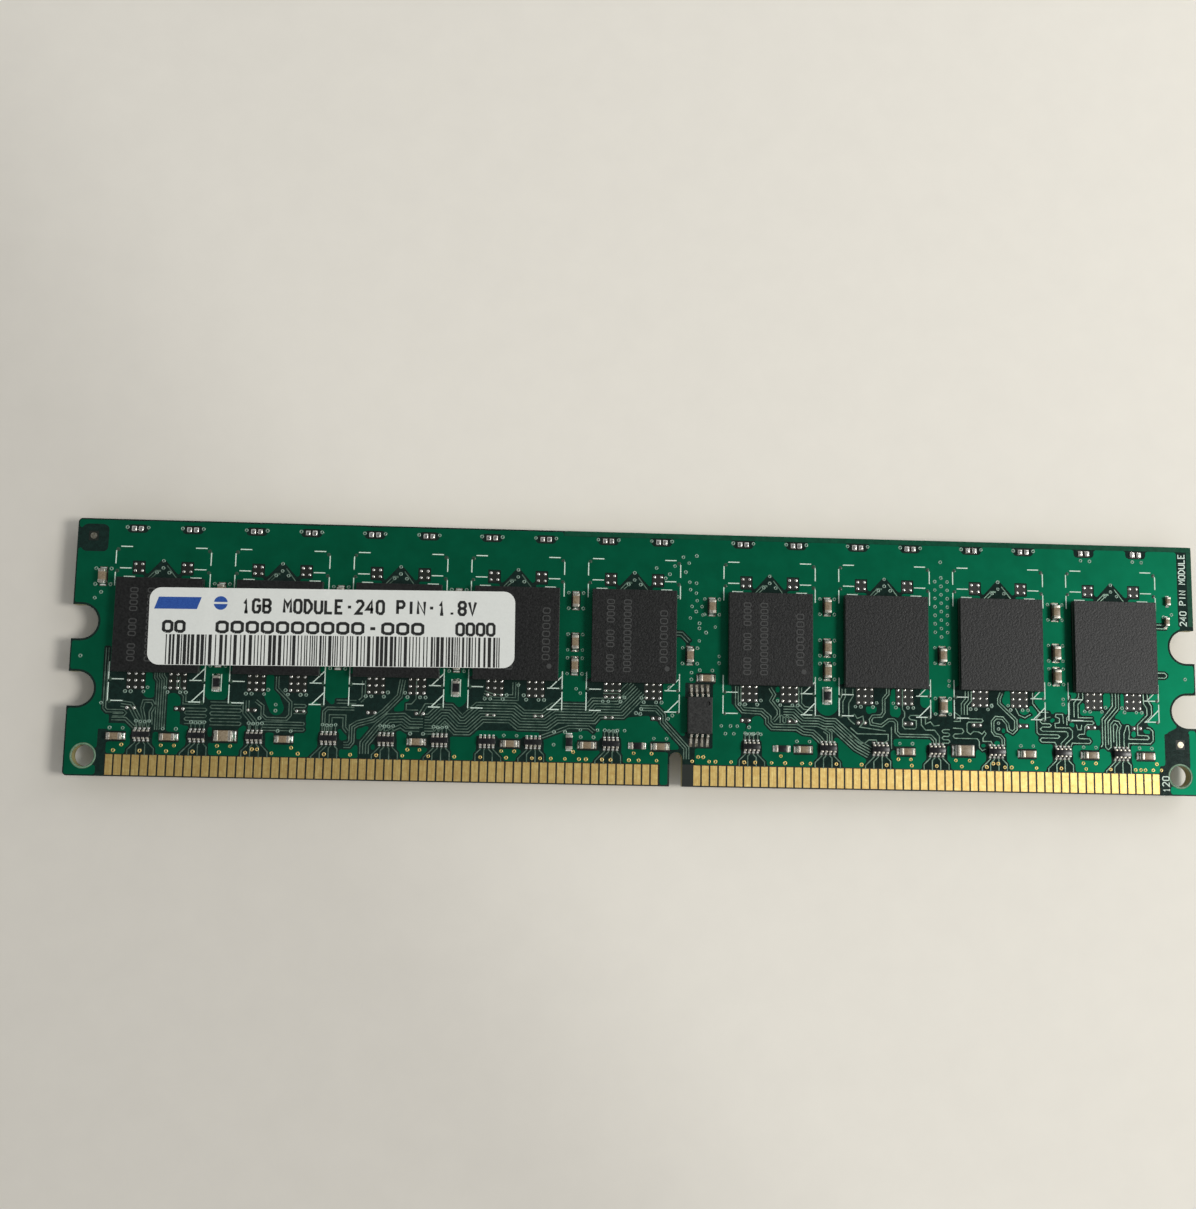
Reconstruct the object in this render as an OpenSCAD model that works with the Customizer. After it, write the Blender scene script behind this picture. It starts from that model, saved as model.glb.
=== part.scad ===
// Double-sided 240-contact memory module, lying on its back packages.
// X runs along the contact edge, Y from the contact edge to the top edge, Z out of the front face.
// The origin is under the middle of the board, on the plane of the back packages' faces.
// Places on the board are counted from its left edge and from its contact edge.

/* [Board] */
// Length of the board
board_l = 133.35; // [133.2:0.05:133.5]
// Height of the board, from contact edge to top edge
board_w = 30; // [29.85:0.05:30.15]
// Thickness of the glass-epoxy laminate
laminate_t = 1.2; // [1.1:0.05:1.3]
// Thickness of the solder mask on each face
mask_t = 0.035; // [0.025:0.005:0.05]
// Thickness of each inner copper plane
plane_t = 0.035; // [0.02:0.005:0.05]
// Radius of the board's corners
corner_r = 0.5; // [0.2:0.1:1]

/* [Latch notches, key and holes] */
// Radius of the latch notches' round ends
notch_r = 2; // [1.9:0.05:2.1]
// Depth of the latch notches from the side edges
notch_depth = 3; // [2.9:0.05:3.1]
// Height of the lower latch notches' centres
lower_notch_y = 10; // [9.9:0.05:10.1]
// Height of the upper latch notches' centres
upper_notch_y = 17.8; // [17.7:0.05:17.9]
// Width of the key slot
key_w = 1.5; // [1.4:0.05:1.6]
// Depth of the key slot
key_depth = 4; // [3.8:0.1:4.2]
// Place of the key slot's centre
key_x = 70.675; // [70.6:0.025:70.75]
// Diameter of the two tooling holes
hole_d = 2.5; // [2.4:0.05:2.6]
// Distance from a side edge to a tooling hole's centre
hole_x = 2.2; // [2.1:0.05:2.3]
// Distance from the contact edge to a tooling hole's centre
hole_y = 2.3; // [2.2:0.05:2.4]

/* [Edge contacts] */
// Distance between contact centres
contact_pitch = 1; // [0.98:0.01:1]
// Width of one contact
contact_w = 0.8; // [0.7:0.02:0.9]
// Height at which the contacts start
contact_y = 0.15; // [0.1:0.05:0.3]
// Height at which the contacts end
contact_top = 2.5; // [2.3:0.1:2.6]
// Thickness of the gold-plated copper
contact_t = 0.035; // [0.03:0.005:0.05]

/* [Memory packages] */
// Length of a package along X
package_x = 10; // [9:0.1:10.5]
// Height of a package along Y
package_y = 11; // [10:0.1:11.2]
// Height of a package's face above the solder mask
package_h = 1.2; // [1.1:0.05:1.3]
// Thickness of a package's substrate
substrate_t = 0.22; // [0.18:0.02:0.3]
// Length of a solder ball under a package
ball_h = 0.385; // [0.3:0.005:0.42]
// Diameter of a solder ball
ball_d = 0.45; // [0.4:0.01:0.5]
// Distance between solder balls
ball_pitch = 0.8; // [0.75:0.05:0.8]
// Place of the first package's centre
package_first_x = 10.1; // [10:0.05:10.2]
// Place of the sixth package's centre, right of the key
package_right_x = 81.7; // [81.6:0.05:81.8]
// Distance between neighbouring packages' centres
package_pitch = 13.85; // [13.8:0.01:13.87]
// Height of the packages' centres
package_mid_y = 17.5; // [17.4:0.05:17.6]

/* [Label] */
// Length of the paper label
label_l = 42.3; // [41:0.1:43]
// Height of the paper label
label_w = 9; // [8.5:0.1:9.2]
// Thickness of the paper label
label_t = 0.1; // [0.08:0.01:0.15]
// Turn of the label, as it was stuck on, in degrees
label_turn = 0.7; // [0:0.1:1]

/* [Hidden] */
$fn = 48;
cut = 1;                  // how far a cutting shape runs past a face
laminate_low = package_h + mask_t;
laminate_top = laminate_low + laminate_t;
FRONT = 1;
BACK = -1;

// Inner planes, at heights in the laminate, and how far copper stays from an edge.
plane_inset = 0.6;
ground_z = laminate_t * 2 / 3;
power_z = laminate_t / 3;
plane_low_y = 3.2;

// Contacts 1 to 64 stand left of the key and 65 to 120 right of it.
contact_first_x = 5.175;
contact_left_count = 64;
contact_count = 120;
contact_key_gap = 4;
function contact_x(k) =
    contact_first_x + k * contact_pitch + (k < contact_left_count ? 0 : contact_key_gap);

// Packages, with five left of the key and four right of it on each face.
package_count = 9;
left_packages = 5;
function package_mid_x(i) = i < left_packages
    ? package_first_x + i * package_pitch
    : package_right_x + (i - left_packages) * package_pitch;
function between_x(i) = (package_mid_x(i) + package_mid_x(i + 1)) / 2;
substrate_z = ball_h;
mould_z = substrate_z + substrate_t;
mould_t = laminate_low - mould_z;
die_x = 7;
die_y = 9.4;
die_t = 0.3;
ball_columns = [-4, -3, -2, 2, 3, 4];   // in ball pitches from the middle
ball_rows = [-5:5];

// Bare lands above and below each package, in ball pitches from its middle column and in mm up the board.
land_d = 0.36;
upper_lands_y = [23.9, 24.7];
lower_lands_y = [10.3, 11.1, 11.9];
lowest_land_y = 7.9;

// Chip parts: [length, width, height, end length].
size_0603 = [1.6, 0.8, 0.8, 0.35];
size_0805 = [2.0, 1.25, 1.1, 0.45];
size_0402 = [1.0, 0.5, 0.5, 0.25];
size_resistor = [1.6, 0.8, 0.45, 0.3];
land_out = 0.35;          // how far a land shows beyond a part's end
land_t = 0.035;
fillet_run = 0.28;        // solder run-out along the land
window_gap = 0.1;         // mask opening round a land

// Places of the parts on the front face: [x, y, turn].
gap_rows_y = [13.9, 16.7, 21.65];
full_gaps = [0, 1, 2, 3, 5, 7];
edge_row_y = 4.6;
front_edge_cap_x = [5.8, 11.85, 25, 40.3, 51.2, 60.2, 68.8, 85.75, 98.05, 112.6, 120.2, 127];
front_caps = concat(
    [for (g = full_gaps, y = gap_rows_y) [between_x(g), y, 90]],
    [for (x = front_edge_cap_x) [x, edge_row_y, 0]],
    [[102.5, 16.1, 90], [102.5, 10.05, 90], [74.8, 21.3, 90], [72.2, 15.4, 90], [74.15, 12.75, 0],
     [3.25, 23.15, 90]]
);
front_bulk_caps = [[18.25, 4.85, 0], [104.9, 4.85, 0]];
front_small_caps = [[130.2, 23.3, 90], [130, 20.8, 90]];
front_resistors = concat(
    [for (g = [0, 2, 5]) [between_x(g), 11, 90]],
    [[66.1, 4.65, 0], [83.2, 4.65, 0], [58.1, 4.95, 90]]
);
array_y = 4.85;
array_x = [8.75, 15.05, 21.65, 30.15, 36.8, 43, 48.5, 53.9, 63,
           79.6, 88.7, 94.95, 101.7, 108.9, 116.9, 124.05];

// Places of the parts on the back face.
back_edge_cap_x = [11.9, 25.9, 33.5, 58.4, 68.2, 84.2, 98.3, 112.9, 127.3];
back_caps = concat(
    [for (g = [0, 1, 2, 3, 5, 6, 7], y = [gap_rows_y[0], gap_rows_y[2]]) [between_x(g), y, 90]],
    [for (x = back_edge_cap_x) [x, edge_row_y, 0]],
    [[73.6, 21.4, 90], [73.6, 13.6, 90]]
);

// Resistor arrays of four elements.
array_l = 2;
array_body_w = 0.7;
array_h = 0.45;
array_pitch = 0.5;
array_end = 0.16;
array_end_w = 0.3;
array_land = 0.3;
array_steps = [-1.5, -0.5, 0.5, 1.5];

// Tinned pads of parts left off, in pairs under the top edge.
pad_pair_y = 28.9;
pad_pair_offset = 3.2;
pad_size = [0.55, 0.6];
pad_step = 0.4;
pad_t = 0.09;

// Configuration memory in an eight-lead package.
eeprom_at = [73.4, 8.35];
eeprom_l = 3;
eeprom_w = 4.4;
eeprom_t = 0.9;
eeprom_lift = 0.1;
lead_w = 0.24;
lead_pitch = 0.65;
lead_t = 0.12;
lead_shoulder_z = 0.46;
lead_reach = 3.25;
eeprom_land_in = 2.6;
eeprom_land_out = 3.65;
eeprom_die = [1.4, 1.6, 0.28];
eeprom_die_z = 0.35;

// Alignment marks for the placement machine.
mark_d = 0.75;
marks = [[1.85, 27.95], [131.3, 6.05]];

label_at = [30.3, 17.6];
label_r = 1.35;

// ---- Placing ----

// Children stand on the laminate's front or back surface, with +Z away from it.
module on_face(face) {
    translate([0, 0, face == FRONT ? laminate_top : laminate_low])
        mirror([0, 0, face == FRONT ? 0 : 1])
            children();
}

// A place on the board, counted from its left edge and its contact edge.
module at(x, y) {
    translate([x - board_l / 2, y - board_w / 2, 0]) children();
}

// Children at each [x, y, turn] of a list.
module at_each(places) {
    for (p = places) at(p[0], p[1]) rotate([0, 0, p[2]]) children();
}

module block(size) {
    translate([-size[0] / 2, -size[1] / 2, 0]) cube(size);
}

module rounded_plate(length, width, r) {
    square([length - 2 * r, width], center = true);
    square([length, width - 2 * r], center = true);
    for (x = [-1, 1], y = [-1, 1])
        translate([x * (length / 2 - r), y * (width / 2 - r)]) circle(r = r);
}

// ---- Board ----

module latch_notch(grow) {
    reach = notch_depth - notch_r;
    translate([-cut, -notch_r - grow]) square([reach + cut, 2 * (notch_r + grow)]);
    translate([reach, 0]) circle(r = notch_r + grow);
}

module key_slot(grow) {
    r = key_w / 2;
    translate([-r - grow, -cut]) square([key_w + 2 * grow, key_depth - r + cut]);
    translate([0, key_depth - r]) circle(r = r + grow);
}

// The board's outline with its notches, key and holes, drawn in from every edge by an inset.
module board_shape(inset) {
    difference() {
        rounded_plate(board_l - 2 * inset, board_w - 2 * inset, corner_r);
        for (y = [lower_notch_y, upper_notch_y]) {
            at(0, y) latch_notch(inset);
            at(board_l, y) mirror([1, 0]) latch_notch(inset);
        }
        at(key_x, 0) key_slot(inset);
        for (x = [hole_x, board_l - hole_x]) at(x, hole_y) circle(d = hole_d + 2 * inset);
    }
}

// An inner plane keeps clear of the edges, the holes and the contact strip.
module plane_shape() {
    difference() {
        board_shape(plane_inset);
        at(-cut, -cut) square([board_l + 2 * cut, plane_low_y + cut]);
    }
}

module plane_at(z) {
    translate([0, 0, laminate_low + z]) linear_extrude(plane_t) plane_shape();
}

module board_laminate() {
    color("#b9ab6a") difference() {
        translate([0, 0, laminate_low]) linear_extrude(laminate_t) board_shape(0);
        plane_at(ground_z);
        plane_at(power_z);
    }
}

module ground_plane() {
    color("#c77b4a") plane_at(ground_z);
}

module power_plane() {
    color("#c77b4a") plane_at(power_z);
}

// ---- Copper on a face ----

module contacts(face) {
    color("#d8b35c") on_face(face)
        for (k = [0:contact_count - 1])
            at(contact_x(k) - contact_w / 2, contact_y)
                cube([contact_w, contact_top - contact_y, contact_t]);
}

// Two lands under a chip part, from under its ends outwards.
module part_lands(size, grow, t) {
    for (s = [-1, 1]) {
        inner = size[0] / 2 - size[3];
        outer = size[0] / 2 + land_out;
        translate([s * (inner + outer) / 2, 0, 0])
            block([outer - inner + 2 * grow, size[1] + 2 * grow, t]);
    }
}

module array_lands(grow, t) {
    for (s = [-1, 1], k = array_steps)
        translate([k * array_pitch, s * (array_body_w / 2 + (array_end + array_land) / 2), 0])
            block([array_end_w + 2 * grow, array_end + array_land + 2 * grow, t]);
}

module eeprom_lands(grow, t) {
    for (s = [-1, 1], k = array_steps)
        translate([k * lead_pitch, s * (eeprom_land_in + eeprom_land_out) / 2, 0])
            block([lead_w + 0.08 + 2 * grow, eeprom_land_out - eeprom_land_in + 2 * grow, t]);
}

module support_lands(i) {
    for (c = ball_columns, y = lower_lands_y)
        at(package_mid_x(i) + c * ball_pitch, y) cylinder(d = land_d, h = land_t);
    for (s = [-1, 1], c = [3, 4], y = concat([lowest_land_y], upper_lands_y))
        at(package_mid_x(i) + s * c * ball_pitch, y) cylinder(d = land_d, h = land_t);
}

module pad_pair(grow, t) {
    for (s = [-1, 1])
        translate([s * pad_step, 0, 0]) block([pad_size[0] + 2 * grow, pad_size[1] + 2 * grow, t]);
}

module pad_pairs(grow, t) {
    for (i = [0:package_count - 1], s = [-1, 1])
        at(package_mid_x(i) + s * pad_pair_offset, pad_pair_y) pad_pair(grow, t);
}

module lands(face) {
    color("#c9c4b4") on_face(face) {
        at_each(face == FRONT ? front_caps : back_caps) part_lands(size_0603, 0, land_t);
        for (x = array_x) at(x, array_y) array_lands(0, land_t);
        for (i = [0:package_count - 1]) support_lands(i);
        for (m = marks) at(m[0], m[1]) cylinder(d = mark_d, h = land_t);
        pad_pairs(0, pad_t);
        if (face == FRONT) {
            at_each(front_bulk_caps) part_lands(size_0805, 0, land_t);
            at_each(front_small_caps) part_lands(size_0402, 0, land_t);
            at_each(front_resistors) part_lands(size_resistor, 0, land_t);
            at(eeprom_at[0], eeprom_at[1]) eeprom_lands(0, land_t);
        }
    }
}

// ---- Solder mask ----

module window(x_low, x_high, y_low, y_high) {
    translate([x_low, y_low]) square([x_high - x_low, y_high - y_low]);
}

module package_windows(i) {
    edge = land_d / 2 + window_gap;
    for (s = [0, 1]) at(package_mid_x(i), 0) mirror([s, 0]) {
        inner = 2 * ball_pitch - edge;
        middle = 3 * ball_pitch - edge;
        outer = 4 * ball_pitch + edge;
        window(inner, outer, package_mid_y - 5 * ball_pitch - edge, package_mid_y + 5 * ball_pitch + edge);
        window(inner, outer, lower_lands_y[0] - edge, lower_lands_y[2] + edge);
        window(middle, outer, upper_lands_y[0] - edge, upper_lands_y[1] + edge);
        window(middle, outer, lowest_land_y - edge, lowest_land_y + edge);
    }
}

module part_window(size) {
    square([size[0] + 2 * (land_out + window_gap), size[1] + 2 * window_gap], center = true);
}

module mask_windows(face) {
    window_y = contact_top + window_gap;
    at(contact_x(0) - contact_pitch / 2, -cut)
        square([contact_x(contact_count - 1) - contact_x(0) + contact_pitch, window_y + cut]);
    for (i = [0:package_count - 1]) {
        package_windows(i);
        for (s = [-1, 1]) at(package_mid_x(i) + s * pad_pair_offset, pad_pair_y)
            square([2 * pad_step + pad_size[0] + 2 * window_gap, pad_size[1] + 2 * window_gap], center = true);
    }
    for (m = marks) at(m[0], m[1]) square(mark_d + 4 * window_gap, center = true);
    at_each(face == FRONT ? front_caps : back_caps) part_window(size_0603);
    for (x = array_x, s = [-1, 1]) at(x, array_y + s * (array_body_w + array_end + array_land) / 2)
        square([4 * array_pitch, array_end + array_land + 2 * window_gap], center = true);
    if (face == FRONT) {
        at_each(front_bulk_caps) part_window(size_0805);
        at_each(front_small_caps) part_window(size_0402);
        at_each(front_resistors) part_window(size_resistor);
        for (s = [-1, 1]) at(eeprom_at[0], eeprom_at[1] + s * (eeprom_land_in + eeprom_land_out) / 2)
            square([4 * lead_pitch, eeprom_land_out - eeprom_land_in + 2 * window_gap], center = true);
    }
}

module solder_mask(face) {
    color("#0c6a48") on_face(face) linear_extrude(mask_t) difference() {
        board_shape(0);
        mask_windows(face);
    }
}

// ---- Memory packages ----

module at_package(face, i) {
    on_face(face) at(package_mid_x(i), package_mid_y) children();
}

module mould(face, i) {
    color("#3a3b3a") at_package(face, i) translate([0, 0, mould_z]) difference() {
        block([package_x, package_y, mould_t]);
        translate([0, 0, -cut]) block([die_x, die_y, die_t + cut]);
    }
}

module substrates(face) {
    color("#2f4a35") for (i = [0:package_count - 1])
        at_package(face, i) translate([0, 0, substrate_z]) block([package_x, package_y, substrate_t]);
}

module dies(face) {
    color("#8b8f96") for (i = [0:package_count - 1])
        at_package(face, i) translate([0, 0, mould_z]) block([die_x, die_y, die_t]);
}

module solder_balls(face) {
    color("#cfd1d3") for (i = [0:package_count - 1], c = ball_columns, r = ball_rows)
        at_package(face, i) translate([c * ball_pitch, r * ball_pitch, 0]) cylinder(d = ball_d, h = ball_h);
}

// ---- Chip parts ----

module part_bodies(places, size, tint) {
    color(tint) at_each(places) translate([0, 0, land_t]) block([size[0] - 2 * size[3], size[1], size[2]]);
}

module part_ends(places, size) {
    color("#c8c7c3") at_each(places) for (s = [-1, 1])
        translate([s * (size[0] - size[3]) / 2, 0, land_t]) block([size[3], size[1], size[2]]);
}

// A wedge of solder against an end face that stands at x = 0, running out along +X.
module fillet(run, rise, width) {
    translate([0, width / 2, land_t]) rotate([90, 0, 0])
        linear_extrude(width) polygon([[0, 0], [run, 0], [0, rise]]);
}

module part_fillets(places, size) {
    at_each(places) for (turn = [0, 180]) rotate([0, 0, turn])
        translate([size[0] / 2, 0, 0]) fillet(fillet_run, size[2] * 0.5, size[1]);
}

module array_bodies() {
    color("#242424") for (x = array_x) at(x, array_y)
        translate([0, 0, land_t]) block([array_l, array_body_w, array_h]);
}

module array_ends() {
    color("#c8c7c3") for (x = array_x, s = [-1, 1], k = array_steps) at(x, array_y)
        translate([k * array_pitch, s * (array_body_w + array_end) / 2, land_t])
            block([array_end_w, array_end, array_h]);
}

module array_fillets() {
    for (x = array_x, turn = [90, -90], k = array_steps) at(x, array_y)
        translate([k * array_pitch, 0, 0]) rotate([0, 0, turn])
            translate([array_body_w / 2 + array_end, 0, 0]) fillet(array_land * 0.8, array_h * 0.6, array_end_w);
}

module solder_fillets(face) {
    color("#d5d6d6") on_face(face) {
        part_fillets(face == FRONT ? front_caps : back_caps, size_0603);
        array_fillets();
        if (face == FRONT) {
            part_fillets(front_bulk_caps, size_0805);
            part_fillets(front_small_caps, size_0402);
            part_fillets(front_resistors, size_resistor);
            eeprom_fillets();
        }
    }
}

// ---- Configuration memory ----

module eeprom_body() {
    color("#333533") on_face(FRONT) at(eeprom_at[0], eeprom_at[1])
        translate([0, 0, land_t + eeprom_lift]) difference() {
            block([eeprom_l, eeprom_w, eeprom_t]);
            translate([0, 0, eeprom_die_z]) block(eeprom_die);
        }
}

module eeprom_die() {
    color("#8b8f96") on_face(FRONT) at(eeprom_at[0], eeprom_at[1])
        translate([0, 0, land_t + eeprom_lift + eeprom_die_z]) block(eeprom_die);
}

// One gull-wing lead, from the body's side to the tip of its foot.
module gull_lead() {
    side = eeprom_w / 2;
    foot = lead_reach - 0.5;
    rotate([90, 0, 90]) translate([0, 0, -lead_w / 2]) linear_extrude(lead_w) polygon([
        [side, lead_shoulder_z], [side + 0.25, lead_shoulder_z], [foot, 0], [lead_reach, 0],
        [lead_reach, lead_t], [foot + 0.08, lead_t], [side + 0.33, lead_shoulder_z + lead_t],
        [side, lead_shoulder_z + lead_t]
    ]);
}

module eeprom_leads() {
    color("#c8c9c9") on_face(FRONT) at(eeprom_at[0], eeprom_at[1])
        for (turn = [0, 180], k = array_steps)
            rotate([0, 0, turn]) translate([k * lead_pitch, 0, land_t]) gull_lead();
}

module eeprom_fillets() {
    at(eeprom_at[0], eeprom_at[1]) for (turn = [90, -90], k = array_steps)
        translate([k * lead_pitch, 0, 0]) rotate([0, 0, turn])
            translate([lead_reach, 0, 0]) fillet(0.25, lead_t, lead_w);
}

// ---- Label ----

module label() {
    color("#f2f2ee") on_face(FRONT) at(label_at[0], label_at[1])
        translate([0, 0, laminate_low]) rotate([0, 0, label_turn])
            linear_extrude(label_t) rounded_plate(label_l, label_w, label_r);
}

// ---- Nodes ----

board_laminate();
ground_plane();
power_plane();
solder_mask(FRONT);  // front_solder_mask
solder_mask(BACK);  // back_solder_mask
contacts(FRONT);  // front_contacts
contacts(BACK);  // back_contacts
lands(FRONT);  // front_lands
lands(BACK);  // back_lands
for (i = [1:package_count]) {
    mould(FRONT, i - 1);
    mould(BACK, i - 1);
}
substrates(FRONT);  // front_substrates
substrates(BACK);  // back_substrates
dies(FRONT);  // front_dies
dies(BACK);  // back_dies
solder_balls(FRONT);  // front_solder_balls
solder_balls(BACK);  // back_solder_balls
on_face(FRONT) part_bodies(front_caps, size_0603, "#a8926a");  // front_capacitors
on_face(FRONT) part_ends(front_caps, size_0603);  // front_capacitor_ends
on_face(FRONT) part_bodies(front_bulk_caps, size_0805, "#9c7d5a");  // bulk_capacitors
on_face(FRONT) part_ends(front_bulk_caps, size_0805);  // bulk_capacitor_ends
on_face(FRONT) part_bodies(front_small_caps, size_0402, "#a8926a");  // small_capacitors
on_face(FRONT) part_ends(front_small_caps, size_0402);  // small_capacitor_ends
on_face(FRONT) part_bodies(front_resistors, size_resistor, "#242424");
on_face(FRONT) part_ends(front_resistors, size_resistor);  // front_resistor_ends
on_face(FRONT) array_bodies();  // front_resistor_arrays
on_face(FRONT) array_ends();  // front_array_ends
solder_fillets(FRONT);  // front_solder_fillets
on_face(BACK) part_bodies(back_caps, size_0603, "#a8926a");  // back_capacitors
on_face(BACK) part_ends(back_caps, size_0603);  // back_capacitor_ends
on_face(BACK) array_bodies();  // back_resistor_arrays
on_face(BACK) array_ends();  // back_array_ends
solder_fillets(BACK);  // back_solder_fillets
eeprom_body();
eeprom_leads();
eeprom_die();
label();
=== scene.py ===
"""Looks of a double-sided memory module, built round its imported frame.

Places on the board are in millimetres from its left edge and from its contact edge, and heights are
above the solder mask of the face that a piece stands on. Everything is turned to metres in one place.
"""

from __future__ import annotations

import logging
import math
import random
from collections.abc import Iterator
from dataclasses import dataclass, field
from enum import Enum

import bmesh
import bpy
import numpy as np
from mathutils import Euler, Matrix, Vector

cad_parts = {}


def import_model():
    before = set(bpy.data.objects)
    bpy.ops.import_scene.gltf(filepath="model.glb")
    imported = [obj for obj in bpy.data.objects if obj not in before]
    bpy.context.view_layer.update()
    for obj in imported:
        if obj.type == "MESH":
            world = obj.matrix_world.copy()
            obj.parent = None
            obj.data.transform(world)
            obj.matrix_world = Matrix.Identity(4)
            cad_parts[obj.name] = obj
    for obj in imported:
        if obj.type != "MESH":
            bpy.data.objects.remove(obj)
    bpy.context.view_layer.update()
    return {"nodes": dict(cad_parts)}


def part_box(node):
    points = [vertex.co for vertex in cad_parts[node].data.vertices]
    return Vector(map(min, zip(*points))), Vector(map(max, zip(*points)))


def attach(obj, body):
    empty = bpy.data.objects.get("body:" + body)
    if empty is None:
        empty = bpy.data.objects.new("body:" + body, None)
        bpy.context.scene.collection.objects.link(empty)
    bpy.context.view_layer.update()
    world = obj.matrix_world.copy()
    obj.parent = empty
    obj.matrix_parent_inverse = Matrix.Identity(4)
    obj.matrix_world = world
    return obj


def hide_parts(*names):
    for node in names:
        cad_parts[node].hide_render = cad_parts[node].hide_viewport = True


LOG = logging.getLogger("memory_module")
MM = 0.001
BODY = "root"
# How deep the foot of a ring or a dome of solder is sunk, so that no gap shows under it.
SUNK = 0.02
# Places of a resistor array's four elements along its body.
ARRAY_STEPS = (-0.75, -0.25, 0.25, 0.75)
# An outline of the fill with no more corners than this is dropped, and the others are thinned
# to this tolerance.
FEWEST_CORNERS = 8
THINNING = 0.012

Point = tuple[float, float]
Path = list[Point]
Triple = tuple[float, float, float]
Place = tuple[float, float, float, float]
Corners = tuple[int, ...]
Socket = bpy.types.NodeSocket


# ---------------------------------------------------------------- finishes


def linear(colour: str) -> tuple[float, float, float, float]:
    """Turns an sRGB hex value such as '#0a5c40' to a linear colour with alpha."""
    parts = [int(colour[i : i + 2], 16) / 255 for i in (1, 3, 5)]
    return (*(c / 12.92 if c <= 0.04045 else ((c + 0.055) / 1.055) ** 2.4 for c in parts), 1.0)


def put(tree: bpy.types.NodeTree, kind: str, inputs: dict | None = None, **settings) -> bpy.types.Node:
    """Adds a node to a tree.

    Args:
        tree: The tree that gets the node.
        kind: The node's type name.
        inputs: Socket name or number to a value, or to another node's output to link from.
        settings: The node's own settings.

    Returns:
        The new node.
    """
    node = tree.nodes.new(kind)
    for key, value in settings.items():
        setattr(node, key, value)
    for key, value in (inputs or {}).items():
        if isinstance(value, Socket):
            tree.links.new(value, node.inputs[key])
        else:
            node.inputs[key].default_value = value
    return node


@dataclass(frozen=True)
class Finish:
    """One real finish: its two tones, how it shines, and the size of its grain."""

    name: str
    light: str
    dark: str
    roughness: float = 0.5
    metallic: float = 0.0
    ior: float = 1.5
    coat: float = 0.0
    coat_roughness: float = 0.08
    grain_mm: float = 0.3
    stretch: Triple = (1.0, 1.0, 1.0)
    contrast: tuple[float, float] = (0.35, 0.65)
    rough_range: float = 0.08
    bump_mm: float = 0.01
    bump: float = 0.3

    def build(self) -> bpy.types.Material:
        """Makes the material, or returns the one that was made before.

        Returns:
            The material.
        """
        made = bpy.data.materials.get(self.name)
        if made:
            return made
        made = bpy.data.materials.new(self.name)
        made.use_nodes = True
        tree = made.node_tree
        tree.nodes.clear()
        place = put(tree, "ShaderNodeTexCoord").outputs["Object"]
        tone, height = self.pattern(tree, place)
        colour = put(
            tree, "ShaderNodeMix", {"Factor": tone, "A": linear(self.dark), "B": linear(self.light)},
            data_type="RGBA",
        )
        rough = put(
            tree,
            "ShaderNodeMapRange",
            {
                "Value": height,
                "To Min": max(self.roughness - self.rough_range, 0.02),
                "To Max": min(self.roughness + self.rough_range, 1.0),
            },
        )
        relief = put(
            tree, "ShaderNodeBump",
            {"Height": height, "Strength": self.bump, "Distance": self.bump_mm * MM},
        )
        shader = put(
            tree,
            "ShaderNodeBsdfPrincipled",
            {
                "Base Color": colour.outputs["Result"],
                "Roughness": rough.outputs["Result"],
                "Normal": relief.outputs["Normal"],
                "Metallic": self.metallic,
                "IOR": self.ior,
                "Coat Weight": self.coat,
                "Coat Roughness": self.coat_roughness,
            },
        )
        self.adjust(tree, shader, place)
        put(tree, "ShaderNodeOutputMaterial", {"Surface": shader.outputs["BSDF"]})
        return made

    def pattern(self, tree: bpy.types.NodeTree, place: Socket) -> tuple[Socket, Socket]:
        """Returns the mix of the two tones and the height of the relief: here, a plain grain."""
        return self.grain(tree, place, self.grain_mm, self.stretch, self.contrast)

    def grain(
        self,
        tree: bpy.types.NodeTree,
        place: Socket,
        size_mm: float,
        stretch: Triple = (1.0, 1.0, 1.0),
        contrast: tuple[float, float] = (0.35, 0.65),
        detail: float = 3.0,
    ) -> tuple[Socket, Socket]:
        """Adds a noise whose features are size_mm across, or longer along an axis by its stretch.

        Args:
            tree: The material's tree.
            place: Object coordinates.
            size_mm: Real size of the grain.
            stretch: How much longer the grain is along each axis.
            contrast: Noise values that become the dark and the light tone.
            detail: Octaves of finer noise.

        Returns:
            The noise spread between its contrast limits, and the plain noise.
        """
        scaled = put(
            tree, "ShaderNodeMapping",
            {"Vector": place, "Scale": tuple(1 / (size_mm * MM * s) for s in stretch)},
        )
        noise = put(
            tree, "ShaderNodeTexNoise",
            {"Vector": scaled.outputs["Vector"], "Scale": 1.0, "Detail": detail, "Roughness": 0.6},
        )
        plain = noise.outputs["Fac"]
        spread = put(
            tree, "ShaderNodeMapRange",
            {"Value": plain, "From Min": contrast[0], "From Max": contrast[1]},
        )
        return spread.outputs["Result"], plain

    def adjust(self, tree: bpy.types.NodeTree, shader: bpy.types.Node, place: Socket) -> None:
        """Changes the shader where a finish needs more than two tones."""


@dataclass(frozen=True)
class ScratchedPlate(Finish):
    """Gold over nickel that a socket's springs have wiped: fine scratches run up each contact."""

    scratch_mm: float = 0.05
    scratch_length: float = 45.0

    def pattern(self, tree: bpy.types.NodeTree, place: Socket) -> tuple[Socket, Socket]:
        """Mixes slow tone changes along the row with fine upright scratches.

        Args:
            tree: The material's tree.
            place: Object coordinates.

        Returns:
            The share of the light tone, and the relief's height.
        """
        slow, _ = self.grain(tree, place, self.grain_mm, self.stretch, self.contrast)
        fine, plain = self.grain(
            tree, place, self.scratch_mm, (1.0, self.scratch_length, 1.0), (0.3, 0.7), 4.0
        )
        both = put(tree, "ShaderNodeMath", {0: slow, 1: fine}, operation="MULTIPLY_ADD")
        both.inputs[2].default_value = 0.15
        return both.outputs["Value"], plain


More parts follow.
